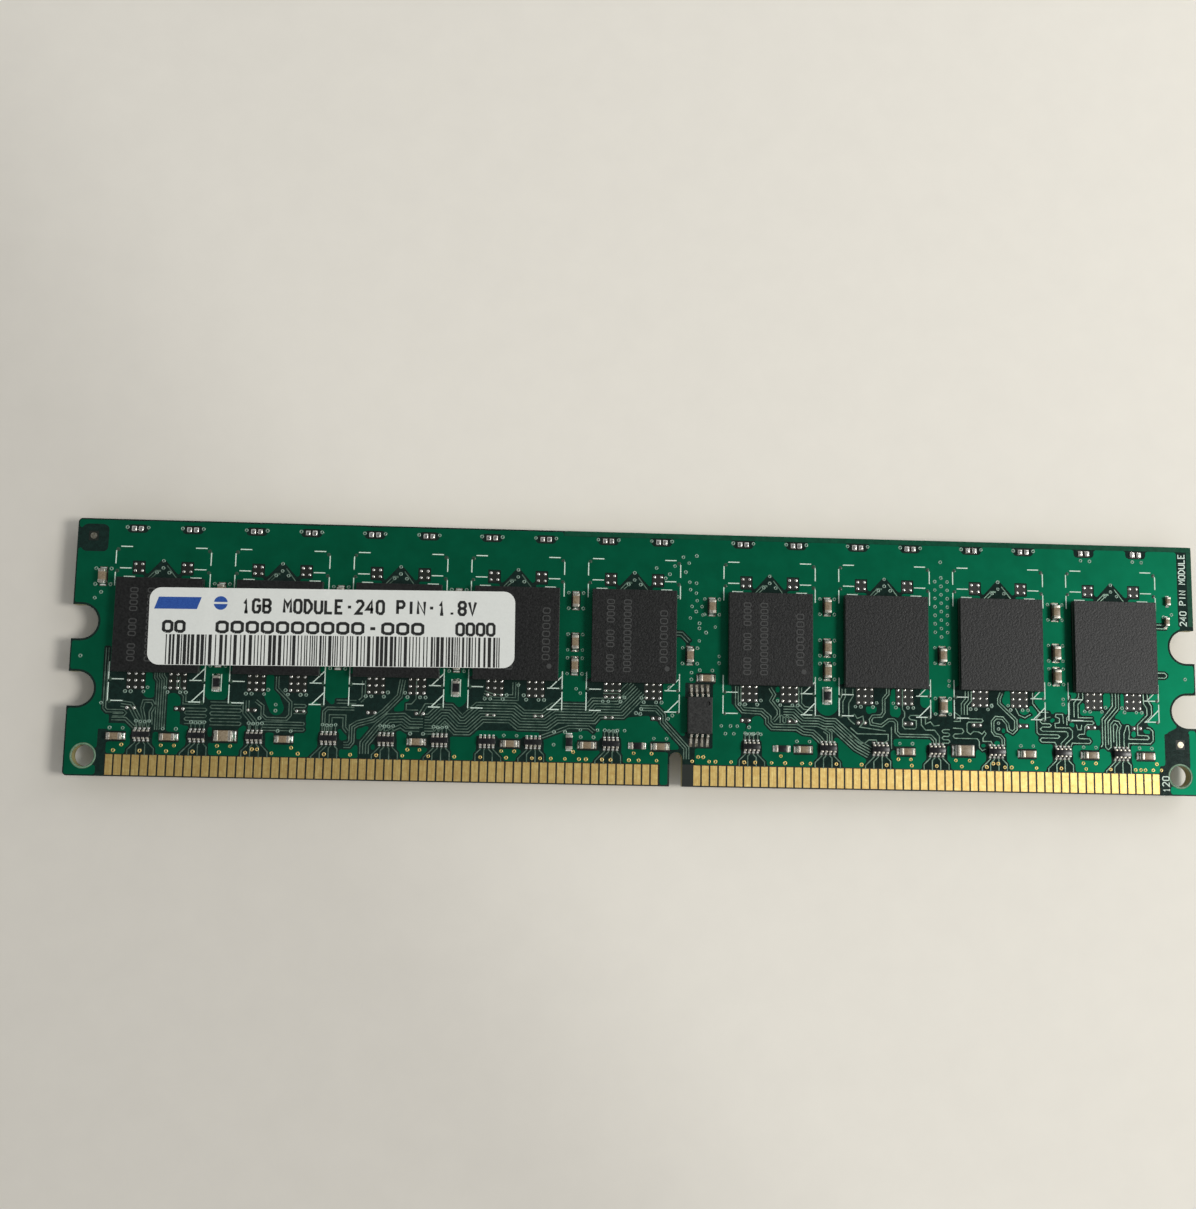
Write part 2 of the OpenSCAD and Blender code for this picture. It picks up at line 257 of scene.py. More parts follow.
@dataclass(frozen=True)
class CutLaminate(Finish):
    """Glass-epoxy: cloth layers show as fine stripes on routed edges, and the flat faces look darker."""

    layer_mm: float = 0.1
    face_tone: str = "#10170f"

    def pattern(self, tree: bpy.types.NodeTree, place: Socket) -> tuple[Socket, Socket]:
        """Stacks cloth layers in Z with a grain along the cut."""
        return self.grain(tree, place, self.layer_mm, (6.0, 6.0, 1.0), self.contrast)

    def adjust(self, tree: bpy.types.NodeTree, shader: bpy.types.Node, place: Socket) -> None:
        """Darkens what faces up or down, where the board's inside shows through.

        Args:
            tree: The material's tree.
            shader: The shader, already linked.
            place: Object coordinates.
        """
        normal = put(tree, "ShaderNodeNewGeometry").outputs["Normal"]
        upright = put(tree, "ShaderNodeSeparateXYZ", {0: normal}).outputs["Z"]
        flat = put(tree, "ShaderNodeMath", {0: upright}, operation="ABSOLUTE").outputs["Value"]
        edge = shader.inputs["Base Color"].links[0].from_socket
        both = put(
            tree, "ShaderNodeMix", {"Factor": flat, "A": edge, "B": linear(self.face_tone)},
            data_type="RGBA",
        )
        tree.links.new(both.outputs["Result"], shader.inputs["Base Color"])


@dataclass(frozen=True)
class CloudyPaperWithPaintedShade(Finish):
    """Pale paper with a slow, faint cloudiness, and painted shade that darkens it towards one corner."""

    # Painted shade: the direction, and the range along it, over which the floor darkens towards one corner.
    shade_side: Triple = (17.0, 12.0, 0.0)
    shade_from: float = -1.0
    shade_to: float = -0.2
    cloud_share: float = 0.2

    def pattern(self, tree: bpy.types.NodeTree, place: Socket) -> tuple[Socket, Socket]:
        """Mixes the cloudiness with the painted shade that deepens towards one corner.

        Args:
            tree: The material's tree.
            place: Object coordinates.

        Returns:
            The share of the light tone, and the relief's height.
        """
        cloud, plain = self.grain(tree, place, self.grain_mm, self.stretch, self.contrast)
        # Painted shade: the floor's tone falls smoothly to the dark tone towards one corner.
        along = put(tree, "ShaderNodeVectorMath", {0: place, 1: self.shade_side}, operation="DOT_PRODUCT")
        slow = put(
            tree,
            "ShaderNodeMapRange",
            {
                "Value": along.outputs["Value"],
                "From Min": self.shade_from,
                "From Max": self.shade_to,
                "To Max": 1 - self.cloud_share,
            },
            interpolation_type="SMOOTHSTEP",
        )
        both = put(tree, "ShaderNodeMath", {0: cloud, 2: slow.outputs["Result"]}, operation="MULTIPLY_ADD")
        both.inputs[1].default_value = self.cloud_share
        return both.outputs["Value"], plain


# Liquid solder mask over copper: the copper's matt sheen comes through the green.
MASK_ON_COPPER = Finish(
    "green mask over copper", "#046a4a", "#025e40", 0.4, metallic=0.6, ior=1.1, coat=0.3,
    coat_roughness=0.06, grain_mm=2.6, contrast=(0.2, 0.8), rough_range=0.03, bump_mm=0.006, bump=0.15,
)
# The same mask over bare laminate: nearly black green, and glossy.
MASK_ON_LAMINATE = Finish(
    "green mask over laminate", "#142c26", "#0d211c", 0.11, grain_mm=0.5, rough_range=0.02,
    bump_mm=0.004, bump=0.08,
)
# Past the inner planes the laminate lets light through, so the mask there is a middle green.
MASK_ON_EDGE = Finish(
    "green mask at the board's edge", "#0d5038", "#0a432f", 0.16, grain_mm=0.6, rough_range=0.03,
    bump_mm=0.004, bump=0.15,
)
# Tracks are copper under mask like the fill; their paler, greyer colour is painted highlight, standing in
# for the glint along their raised edges, which are too thin to shade on their own.
MASK_ON_TRACK = Finish(
    "green mask over tracks", "#8aa492", "#5c7869", 0.44, metallic=0.85, ior=1.2, coat=0.2, grain_mm=0.8,
    rough_range=0.05, bump_mm=0.005, bump=0.2,
)
# Hard gold over nickel, wiped by a socket's springs.
GOLD = ScratchedPlate(
    "hard gold plating", "#ffeaa0", "#d3aa60", 0.5, metallic=1.0, grain_mm=0.45,
    contrast=(0.25, 0.75), rough_range=0.1, bump_mm=0.006, bump=0.45,
)
VIA_GOLD = Finish("gold via ring", "#f6dc94", "#d3b26a", 0.42, metallic=1.0, grain_mm=0.2, bump=0.2)
# Rings under the mask keep a pale green cast.
VIA_RING = Finish(
    "masked via ring", "#98ae9f", "#738f80", 0.4, metallic=0.5, coat=0.2, grain_mm=0.2, bump=0.2
)
VIA_HOLE = Finish("plugged via hole", "#0d1f18", "#07120e", 0.4, grain_mm=0.1, bump=0.2)
PLUGGED_VIA = Finish("plugged via lid", "#35503f", "#22382d", 0.3, grain_mm=0.15, bump=0.3)
# Round the tooling holes the mask is left off, and the laminate's resin shows pale green.
BARE_RIM = Finish("bare resin round a hole", "#7b997c", "#56775c", 0.35, grain_mm=0.3, bump=0.2)
# Hot-air levelled tin: bright, with a soft ripple.
SOLDER = Finish(
    "reflowed solder", "#f4f4ef", "#c4c2b8", 0.27, metallic=1.0, grain_mm=0.25, contrast=(0.3, 0.7),
    rough_range=0.12, bump_mm=0.03, bump=0.45,
)
TIN_LAND = Finish(
    "tinned land", "#c6c1b2", "#837e6a", 0.4, metallic=1.0, grain_mm=0.3, rough_range=0.12,
    bump_mm=0.02, bump=0.4,
)
# Barrel-plated tin ends are greyer and duller than solder.
TIN_END = Finish(
    "plated tin end", "#dcd8cc", "#a8a294", 0.42, metallic=0.9, grain_mm=0.18, rough_range=0.12,
    bump_mm=0.02, bump=0.4,
)
CERAMIC = Finish(
    "fired brown ceramic", "#94836a", "#74644e", 0.4, grain_mm=0.14, bump_mm=0.008, bump=0.35
)
CERAMIC_PALE = Finish(
    "fired grey-brown ceramic", "#9a8c75", "#7b6c56", 0.4, grain_mm=0.16, bump_mm=0.008, bump=0.35
)
GLASS_COAT = Finish("black glass overcoat", "#1d1e20", "#101113", 0.3, grain_mm=0.2, bump_mm=0.006)
# Moulding compound is silica-filled epoxy: charcoal, matt, with a fine sparkle of filler.
MOULD = Finish(
    "moulded epoxy", "#1a1b1a", "#060706", 0.46, ior=1.45, grain_mm=0.24, contrast=(0.34, 0.68),
    rough_range=0.14, bump_mm=0.05, bump=0.9,
)
# The small memory's mould is a cheaper, greyer grade.
SMALL_MOULD = Finish(
    "grey moulded epoxy", "#30312f", "#141514", 0.5, ior=1.45, grain_mm=0.24, contrast=(0.34, 0.68),
    rough_range=0.12, bump_mm=0.04, bump=0.7,
)
SUBSTRATE = Finish("package substrate", "#1c2a1b", "#111a10", 0.45, grain_mm=0.2)
# A laser chars the mould's skin to a slightly paler grey.
LASER = Finish("laser mark", "#434442", "#2f302f", 0.62, grain_mm=0.1, contrast=(0.3, 0.7))
LAMINATE = CutLaminate(
    "glass-epoxy laminate", "#a89f6c", "#6f6a42", 0.55, contrast=(0.3, 0.7), bump_mm=0.03, bump=0.5
)
# The ink misses some high spots of the mask, so its second tone is greener.
SILK = Finish(
    "white silkscreen ink", "#e2f1e4", "#b4d2c0", 0.6, grain_mm=0.12, contrast=(0.25, 0.6),
    bump_mm=0.012, bump=0.5,
)
PAPER = Finish(
    "coated label paper", "#e7e9e3", "#e0e2dc", 0.42, grain_mm=0.3, contrast=(0.2, 0.8),
    rough_range=0.06, bump_mm=0.01, bump=0.35,
)
BLACK_PRINT = Finish("black ribbon print", "#262725", "#111211", 0.5, grain_mm=0.11)
BLUE_PRINT = Finish("blue print", "#2f5cab", "#1d4391", 0.45, grain_mm=0.15)
COPPER = Finish("rolled copper foil", "#c98a5e", "#b27046", 0.35, metallic=1.0, grain_mm=0.4)
SILICON = Finish("ground silicon", "#7f838a", "#666a70", 0.25, metallic=0.6, grain_mm=0.2)
# The dark tone serves both the paper's faint cloudiness and the painted shade towards one corner, which
# stands in for a soft shadow across that part of the floor.
FLOOR = CloudyPaperWithPaintedShade(
    "plain paper floor", "#f1ece1", "#dad5cb", 0.9, grain_mm=5.0, contrast=(0.15, 0.85), bump_mm=0.05,
    bump=0.25,
)


# ---------------------------------------------------------------- shapes on a face


class Side(Enum):
    """The two faces of the board."""

    FRONT = 1
    BACK = -1


@dataclass(frozen=True)
class Face:
    """One face of the board: where its left edge, contact edge and mask surface are, in metres."""

    side: Side
    left: float
    low: float
    surface: float

    @classmethod
    def of(cls, side: Side) -> Face:
        """Reads a face's place from the frame.

        Args:
            side: Which face.

        Returns:
            The face.
        """
        low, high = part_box("board_laminate")
        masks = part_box(f"{side.name.lower()}_solder_mask")
        return cls(side, low.x, low.y, masks[1].z if side is Side.FRONT else masks[0].z)

    @property
    def name(self) -> str:
        """The face's name, as nodes and pieces use it."""
        return self.side.name.lower()

    def at(self, x: float, y: float, h: float) -> Triple:
        """Turns a place on this face, in millimetres, to the frame's metres."""
        return (self.left + x * MM, self.low + y * MM, self.surface + self.side.value * h * MM)

    def back_to_board(self, corner: Vector) -> Triple:
        """Turns a point of the frame to millimetres on this face."""
        height = (corner.z - self.surface) * self.side.value
        return ((corner.x - self.left) / MM, (corner.y - self.low) / MM, height / MM)


def settle(piece: bpy.types.Object, slot: str) -> bpy.types.Object:
    """Makes a finished piece ride on the board.

    Args:
        piece: The piece.
        slot: A name for its material; not used.

    Returns:
        The same piece.
    """
    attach(piece, BODY)
    LOG.info("%s: %d faces", piece.name, len(piece.data.polygons))
    return piece


def link(name: str, mesh: bpy.types.Mesh, finish: Finish | None = None) -> bpy.types.Object:
    """Puts a mesh into the scene as an object with one finish.

    Args:
        name: The object's name.
        mesh: Its mesh, placed in the frame.
        finish: Its finish, or none if the mesh has one.

    Returns:
        The object, at the origin.
    """
    piece = bpy.data.objects.new(name, mesh)
    bpy.context.scene.collection.objects.link(piece)
    if finish:
        mesh.materials.clear()
        mesh.materials.append(finish.build())
    return piece


def plain_mesh(piece: bpy.types.Object, name: str) -> bpy.types.Mesh:
    """Returns what an object looks like with its modifiers, as a mesh of its own.

    Args:
        piece: The object.
        name: The new mesh's name.

    Returns:
        The mesh.
    """
    graph = bpy.context.evaluated_depsgraph_get()
    mesh = bpy.data.meshes.new_from_object(piece.evaluated_get(graph), depsgraph=graph)
    mesh.name = name
    return mesh


def turn_outwards(mesh: bpy.types.Mesh, smooth: bool, merge: float = 0.0) -> None:
    """Turns every face of a mesh outwards.

    Args:
        mesh: The mesh.
        smooth: Whether its faces shade as one curve.
        merge: Distance in metres below which points become one first.
    """
    work = bmesh.new()
    work.from_mesh(mesh)
    if merge:
        bmesh.ops.remove_doubles(work, verts=work.verts, dist=merge)
    bmesh.ops.recalc_face_normals(work, faces=work.faces)
    for made in work.faces:
        made.smooth = smooth
    work.to_mesh(mesh)
    work.free()


def discard(*shapes: bpy.types.Object) -> None:
    """Removes small shapes whose copies are made."""
    for used in shapes:
        bpy.data.objects.remove(used)


def level(points: list[Point]) -> list[Place]:
    """Returns unturned places on the mask itself."""
    return [(x, y, 0.0, 0.0) for x, y in points]


def circle(x: float, y: float, radius: float, steps: int) -> Path:
    """Returns a round outline, anticlockwise."""
    angles = np.linspace(0, 2 * math.pi, steps, endpoint=False)
    return [(x + radius * math.cos(a), y + radius * math.sin(a)) for a in angles]


class Solid:
    """Gathers closed shapes on one face of the board and makes one mesh object of them."""

    def __init__(self, face: Face) -> None:
        """Starts empty."""
        self.face = face
        self.points: list[Triple] = []
        self.faces: list[Corners] = []

    def add(self, points: list[Triple], faces: list[Corners]) -> None:
        """Adds points in board millimetres, and faces that count from the first of them.

        Args:
            points: The points.
            faces: Corners of each face.
        """
        start = len(self.points)
        self.points.extend(points)
        self.faces.extend(tuple(start + i for i in f) for f in faces)

    def prism(self, outline: Path, low: float, high: float) -> None:
        """Adds an upright prism over an outline that runs anticlockwise.

        Args:
            outline: The outline.
            low: Height of its foot.
            high: Height of its top.
        """
        n = len(outline)
        sides = [(i, (i + 1) % n, n + (i + 1) % n, n + i) for i in range(n)]
        caps = [tuple(range(n, 2 * n)), tuple(reversed(range(n)))]
        self.add([(x, y, low) for x, y in outline] + [(x, y, high) for x, y in outline], sides + caps)

    def block(self, x: float, y: float, length: float, width: float, low: float, high: float) -> None:
        """Adds a block with its middle at x, y."""
        a, b = length / 2, width / 2
        self.prism([(x - a, y - b), (x + a, y - b), (x + a, y + b), (x - a, y + b)], low, high)

    def strip(self, path: Path, width: float, low: float, high: float, top: float = 1.0) -> None:
        """Adds a flat strip along a path, with mitred corners, whose top may be narrower than its foot.

        Args:
            path: Its middle line.
            width: Width of its foot.
            low: Height of its foot.
            high: Height of its top.
            top: Width of its top as a share of its foot's.
        """
        left, right = offset(path, width / 2), offset(path, -width / 2)
        top_left, top_right = offset(path, width * top / 2), offset(path, -width * top / 2)
        rows = []
        for a, b, c, d in zip(right, top_right, top_left, left):
            rows += [(*a, low), (*b, high), (*c, high), (*d, low)]
        faces = [(3, 2, 1, 0)]
        for i in range(len(path) - 1):
            a, b = 4 * i, 4 * (i + 1)
            faces += [(a + k, b + k, b + (k + 1) % 4, a + (k + 1) % 4) for k in range(4)]
        end = 4 * (len(path) - 1)
        faces.append((end, end + 1, end + 2, end + 3))
        self.add(rows, [tuple(reversed(f)) for f in faces])

    def make(self, name: str, finish: Finish) -> bpy.types.Object:
        """Makes the object, with every face pointing outwards.

        Args:
            name: The object's name.
            finish: Its finish.

        Returns:
            The object.
        """
        mesh = bpy.data.meshes.new(name)
        mesh.from_pydata([self.face.at(*p) for p in self.points], [], self.faces)
        turn_outwards(mesh, smooth=False)
        return link(name, mesh, finish)


def offset(path: Path, distance: float) -> Path:
    """Moves a path sideways by a distance, with mitred corners; positive is to the left.

    Args:
        path: The path.
        distance: How far it moves.

    Returns:
        The moved path.
    """
    line = np.array(path, float)
    steps = np.diff(line, axis=0)
    steps /= np.linalg.norm(steps, axis=1)[:, None]
    normals = np.stack([-steps[:, 1], steps[:, 0]], axis=1)
    first = np.vstack([normals[:1], normals])
    last = np.vstack([normals, normals[-1:]])
    mitre = first + last
    mitre /= np.maximum((mitre * first).sum(axis=1), 0.35)[:, None]
    return [tuple(p) for p in line + mitre * distance]


def lathe(profile: Path, turns: int) -> tuple[list[Triple], list[Corners]]:
    """Turns a closed profile of radius and height round the Z axis into a ring of faces.

    Args:
        profile: Radius and height of each corner.
        turns: Steps round the axis.

    Returns:
        The points, and the faces that join them.
    """
    points, faces = [], []
    n = len(profile)
    for t in range(turns):
        a = 2 * math.pi * t / turns
        points += [(r * math.cos(a), r * math.sin(a), z) for r, z in profile]
        nxt = (t + 1) % turns
        faces += [(t * n + i, nxt * n + i, nxt * n + (i + 1) % n, t * n + (i + 1) % n) for i in range(n)]
    return points, faces


class Shapes:
    """Small shapes, in metres round their own origin, that are then repeated."""

    @staticmethod
    def from_points(name: str, points: list, faces: list) -> bpy.types.Object:
        """Makes a smooth shape from points in millimetres, merged and turned outwards.

        Args:
            name: The shape's name.
            points: The points.
            faces: Corners of each face.

        Returns:
            The shape.
        """
        mesh = bpy.data.meshes.new(name)
        mesh.from_pydata([tuple(c * MM for c in p) for p in points], [], faces)
        turn_outwards(mesh, smooth=True, merge=1e-7)
        return link(name, mesh)

    @staticmethod
    def ring(outer: float, inner: float, height: float) -> bpy.types.Object:
        """A plated ring with a rounded top.

        Args:
            outer: Outer radius.
            inner: Inner radius.
            height: Height of its crest.

        Returns:
            The shape.
        """
        mid = (outer + inner) / 2
        top = [(outer, height * 0.4), (mid, height), (inner, height * 0.6)]
        profile = [(inner, -SUNK), (outer, -SUNK), *top]
        return Shapes.from_points("ring", *lathe(profile, 14 if outer < 1 else 64))

    @staticmethod
    def dome(radius: float, height: float, turns: int = 12) -> bpy.types.Object:
        """A low dome of solder on a round land."""
        curve = [(radius * math.cos(a), height * math.sin(a)) for a in (0, 0.5, 1.0, math.pi / 2)]
        return Shapes.from_points("dome", *lathe([(0, -SUNK), (radius, -SUNK), *curve], turns))

    @staticmethod
    def ball(radius: float, height: float) -> bpy.types.Object:
        """A solder ball flattened between its two lands.

        Args:
            radius: Widest radius.
            height: Distance between the lands.

        Returns:
            The shape.
        """
        angles = [-1.0, -0.5, 0.0, 0.5, 1.0]
        scale = height / 2 / math.sin(1.0)
        curve = [(radius * math.cos(a), height / 2 + scale * math.sin(a)) for a in angles]
        return Shapes.from_points("ball", *lathe([(0, 0), *curve, (0, height)], 10))

    @staticmethod
    def blocks(name: str, parts: list[tuple], round_mm: float, segments: int = 2) -> bpy.types.Object:
        """Blocks with rounded edges, each given as (x, y, z low, length, width, height).

        Args:
            name: The shape's name.
            parts: The blocks.
            round_mm: Radius of the edges.
            segments: Steps across an edge.

        Returns:
            The shape.
        """
        work = bmesh.new()
        for x, y, z, length, width, height in parts:
            made = bmesh.ops.create_cube(work, size=1)["verts"]
            bmesh.ops.scale(work, vec=(length * MM, width * MM, height * MM), verts=made)
            bmesh.ops.translate(work, vec=(x * MM, y * MM, (z + height / 2) * MM), verts=made)
        bmesh.ops.bevel(
            work, geom=list(work.edges), offset=round_mm * MM, segments=segments, profile=0.5, affect="EDGES"
        )
        for made in work.faces:
            made.smooth = True
        mesh = bpy.data.meshes.new(name)
        work.to_mesh(mesh)
        work.free()
        return link(name, mesh)

    @staticmethod
    def fillets(name: str, ends: list[tuple]) -> bpy.types.Object:
        """Hollow solder fillets, each given as (x, y, direction in degrees, run, rise, width).

        Args:
            name: The shape's name.
            ends: The fillets.

        Returns:
            The shape.
        """
        steps = 4
        points: list = []
        faces: list = []
        for x, y, way, run, rise, width in ends:
            c, s = math.cos(math.radians(way)), math.sin(math.radians(way))
            start = len(points)
            for i in range(steps + 1):
                t = i / steps
                out = run * t
                top = max(rise * (1 - t) ** 2.2, 0.012)
                half = width / 2 * (1.06 - 0.14 * t * t)
                for side, z in ((-half, -0.01), (half, -0.01), (half * 0.9, top), (-half * 0.9, top)):
                    points.append((x + c * out - s * side, y + s * out + c * side, z))
            for i in range(steps):
                a, b = start + 4 * i, start + 4 * (i + 1)
                faces += [(a + k, b + k, b + (k + 1) % 4, a + (k + 1) % 4) for k in range(4)]
            end = start + 4 * steps
            faces += [(start + 3, start + 2, start + 1, start), (end, end + 1, end + 2, end + 3)]
        return Shapes.from_points(name, points, faces)


@dataclass
class Repeater:
    """Repeats a small shape at a list of places on a face with a node tree."""

    face: Face
    jitter: float = 0.0
    seed: int = 3

    def tree(self) -> bpy.types.NodeTree:
        """Builds the tree: copies on points, turned by each point's own turn, then made real.

        Returns:
            The tree, which every piece shares.
        """
        name = "repeat a shape"
        made = bpy.data.node_groups.get(name)
        if made:
            return made
        made = bpy.data.node_groups.new(name, "GeometryNodeTree")
        sockets = made.interface
        for label, kind in (
            ("Places", "NodeSocketGeometry"),
            ("Shape", "NodeSocketObject"),
            ("Smallest size", "NodeSocketFloat"),
            ("Largest size", "NodeSocketFloat"),
            ("Seed", "NodeSocketInt"),
            ("Finish", "NodeSocketMaterial"),
        ):
            sockets.new_socket(label, in_out="INPUT", socket_type=kind)
        sockets.new_socket("Copies", in_out="OUTPUT", socket_type="NodeSocketGeometry")
        given = put(made, "NodeGroupInput").outputs
        shape = put(made, "GeometryNodeObjectInfo", {"Object": given["Shape"]})
        turn = put(made, "GeometryNodeInputNamedAttribute", {"Name": "turn"}, data_type="FLOAT_VECTOR")
        size = put(
            made, "FunctionNodeRandomValue",
            {2: given["Smallest size"], 3: given["Largest size"], "Seed": given["Seed"]},
            data_type="FLOAT",
        )
        copies = put(
            made,
            "GeometryNodeInstanceOnPoints",
            {
                "Points": given["Places"],
                "Instance": shape.outputs["Geometry"],
                "Rotation": turn.outputs["Attribute"],
                "Scale": size.outputs["Value"],
            },
        )
        real = put(made, "GeometryNodeRealizeInstances", {0: copies.outputs["Instances"]})
        dressed = put(made, "GeometryNodeSetMaterial", {0: real.outputs[0], "Material": given["Finish"]})
        put(made, "NodeGroupOutput", {0: dressed.outputs[0]})
        return made

    def make(
        self,
        name: str,
        places: list[Place],
        shape: bpy.types.Object,
        finish: Finish,
    ) -> bpy.types.Object:
        """Makes one mesh of copies.

        Args:
            name: The new piece's name.
            places: x, y, height and turn in degrees of each copy.
            shape: The small shape.
            finish: The copies' finish.

        Returns:
            The piece, with its place in its mesh.
        """
        points = bpy.data.meshes.new(f"{name} places")
        points.from_pydata([self.face.at(x, y, h) for x, y, h, _ in places], [], [])
        over = 0.0 if self.face.side is Side.FRONT else math.pi
        turns = points.attributes.new("turn", "FLOAT_VECTOR", "POINT")
        sign = self.face.side.value
        values = [c for p in places for c in (over, 0.0, sign * math.radians(p[3]))]
        turns.data.foreach_set("vector", values)
        holder = link(f"{name} holder", points)
        modifier = holder.modifiers.new("copies", "NODES")
        tree = self.tree()
        modifier.node_group = tree
        keys = {s.name: s.identifier for s in tree.interface.items_tree if s.in_out == "INPUT"}
        modifier[keys["Shape"]] = shape
        modifier[keys["Smallest size"]] = 1.0 - self.jitter
        modifier[keys["Largest size"]] = 1.0 + self.jitter
        modifier[keys["Seed"]] = self.seed
        modifier[keys["Finish"]] = finish.build()
        bpy.context.view_layer.update()
        mesh = plain_mesh(holder, name)
        bpy.data.objects.remove(holder)
        return link(name, mesh)


def islands(piece: bpy.types.Object) -> list[tuple[Vector, Vector]]:
    """Returns the box of each separate solid of a CAD node, from left to right.

    Args:
        piece: The node, made of loose triangles.

    Returns:
        Lowest and highest corner of each solid.
    """
    mesh = piece.data
    flat = np.empty(len(mesh.vertices) * 3, np.float32)
    mesh.vertices.foreach_get("co", flat)
    spots = flat.reshape(-1, 3)
    corners = np.empty(len(mesh.loops), np.int32)
    mesh.loops.foreach_get("vertex_index", corners)
    _, merged = np.unique(np.round(spots * 1e6).astype(np.int64), axis=0, return_inverse=True)
    merged = merged.ravel()
    faces = merged[corners].reshape(-1, 3)
    group = np.arange(merged.max() + 1)
    while True:
        before = group.copy()
        np.minimum.at(group, faces, group[faces].min(axis=1)[:, None])
        group = group[group]
        if (group == before).all():
            break
    owner = group[merged]
    order = np.argsort(owner, kind="stable")
    starts = np.flatnonzero(np.diff(owner[order], prepend=-1))
    lows = np.minimum.reduceat(spots[order], starts)
    highs = np.maximum.reduceat(spots[order], starts)
    boxes = [(Vector(a), Vector(b)) for a, b in zip(lows.tolist(), highs.tolist())]
    return sorted(boxes, key=lambda box: (round(box[0].x, 6), box[0].y))


# ---------------------------------------------------------------- copper fill


@dataclass
class CopperField:
    """Distances on a fine grid over the board, from which the ground fill gets its outline."""

    length: float
    width: float
    inset: float
    step: float = 0.1
    reach: float = 0.7
    least_width: float = 0.4
    clear: np.ndarray = field(init=False)
    xs: np.ndarray = field(init=False)
    ys: np.ndarray = field(init=False)

    def __post_init__(self) -> None:
        """Lays the grid out, a little past the board's edges."""
        self.xs = np.arange(-0.3, self.length + 0.3, self.step)
        self.ys = np.arange(-0.3, self.width + 0.3, self.step)
        self.clear = np.full((len(self.xs), len(self.ys)), self.reach)

    def window(self, x0: float, x1: float, y0: float, y1: float) -> tuple:
        """Returns the part of the grid inside a box, with its coordinates.

        Args:
            x0: Left side.
            x1: Right side.
            y0: Lower side.
            y1: Upper side.

        Returns:
            Rows and columns of the grid, and their coordinates.
        """
        i = slice(*np.searchsorted(self.xs, (x0, x1)))
        j = slice(*np.searchsorted(self.ys, (y0, y1)))
        return i, j, self.xs[i][:, None], self.ys[j][None, :]

    def away(self, path: Path, radius: float) -> Iterator[tuple]:
        """Yields, for each leg of a path, a window of the grid and its distances from the thick leg.

        Args:
            path: The path.
            radius: Half the leg's width.

        Yields:
            Rows, columns, and the distances there.
        """
        reach = radius + self.reach
        for (x0, y0), (x1, y1) in zip(path, path[1:]):
            i, j, xs, ys = self.window(
                min(x0, x1) - reach, max(x0, x1) + reach, min(y0, y1) - reach, max(y0, y1) + reach
            )
            dx, dy = x1 - x0, y1 - y0
            t = np.clip(((xs - x0) * dx + (ys - y0) * dy) / max(dx * dx + dy * dy, 1e-9), 0, 1)
            yield i, j, np.hypot(xs - x0 - t * dx, ys - y0 - t * dy) - radius

    def carve_path(self, path: Path, radius: float) -> None:
        """Keeps the fill a radius away from a path."""
        for i, j, gap in self.away(path, radius):
            self.clear[i, j] = np.minimum(self.clear[i, j], gap)

    def keep_path(self, path: Path, radius: float) -> None:
        """Lets the fill back in round a path."""
        for i, j, gap in self.away(path, radius):
            self.clear[i, j] = np.maximum(self.clear[i, j], np.minimum(-gap, self.reach))

    def carve_box(self, x0: float, x1: float, y0: float, y1: float, corner: float = 0.0) -> None:
        """Keeps the fill out of a box, whose corners may be round.

        Args:
            x0: Left side.
            x1: Right side.
            y0: Lower side.
            y1: Upper side.
            corner: Radius of the corners.
        """
        pad = self.reach
        i, j, xs, ys = self.window(x0 - pad, x1 + pad, y0 - pad, y1 + pad)
        dx = np.maximum(x0 + corner - xs, xs - x1 + corner)
        dy = np.maximum(y0 + corner - ys, ys - y1 + corner)
        gap = np.hypot(np.maximum(dx, 0), np.maximum(dy, 0)) + np.minimum(np.maximum(dx, dy), 0) - corner
        self.clear[i, j] = np.minimum(self.clear[i, j], gap)

    def without_slivers(self, clear: np.ndarray) -> np.ndarray:
        """Drops copper that is narrower than the least width a board maker etches in a fill.

        Args:
            clear: Distance inside the copper at each grid point.

        Returns:
            The distances that are left.
        """
        least = self.least_width / 2
        cells = int(least / self.step) + 2
        wide = np.pad(np.where(clear >= least, clear, -9.0), cells, constant_values=-9.0)
        kept = np.full_like(clear, -1.0)
        n, m = clear.shape
        for i in range(2 * cells + 1):
            for j in range(2 * cells + 1):
                far = math.hypot(i - cells, j - cells) * self.step
                if far <= least + 2 * self.step:
                    np.maximum(kept, wide[i : i + n, j : j + m] - far, out=kept)
        return kept

    def loops(self) -> list[Path]:
        """Returns the fill's outlines: its edge and the edge of each gap in it.

        Returns:
            Closed loops.
        """
        xs, ys = self.xs[:, None], self.ys[None, :]
        edge = np.maximum(
            np.maximum(self.inset - xs, xs - self.length + self.inset),
            np.maximum(self.inset - ys, ys - self.width + self.inset),
        )
        clear = self.without_slivers(np.minimum(self.clear, -edge))
        return trace_loops(-clear, self.xs, self.ys)


# Which way an outline crosses a cell, for each set of its corners that lies inside. Edges are
# bottom, right, top and left, and the inside stays on the left.
CROSSINGS = {
    1: ["BL"], 2: ["RB"], 3: ["RL"], 4: ["TR"], 5: ["BL", "TR"], 6: ["TB"], 7: ["TL"], 8: ["LT"],
    9: ["BT"], 10: ["RB", "LT"], 11: ["RT"], 12: ["LR"], 13: ["BR"], 14: ["LB"],
}


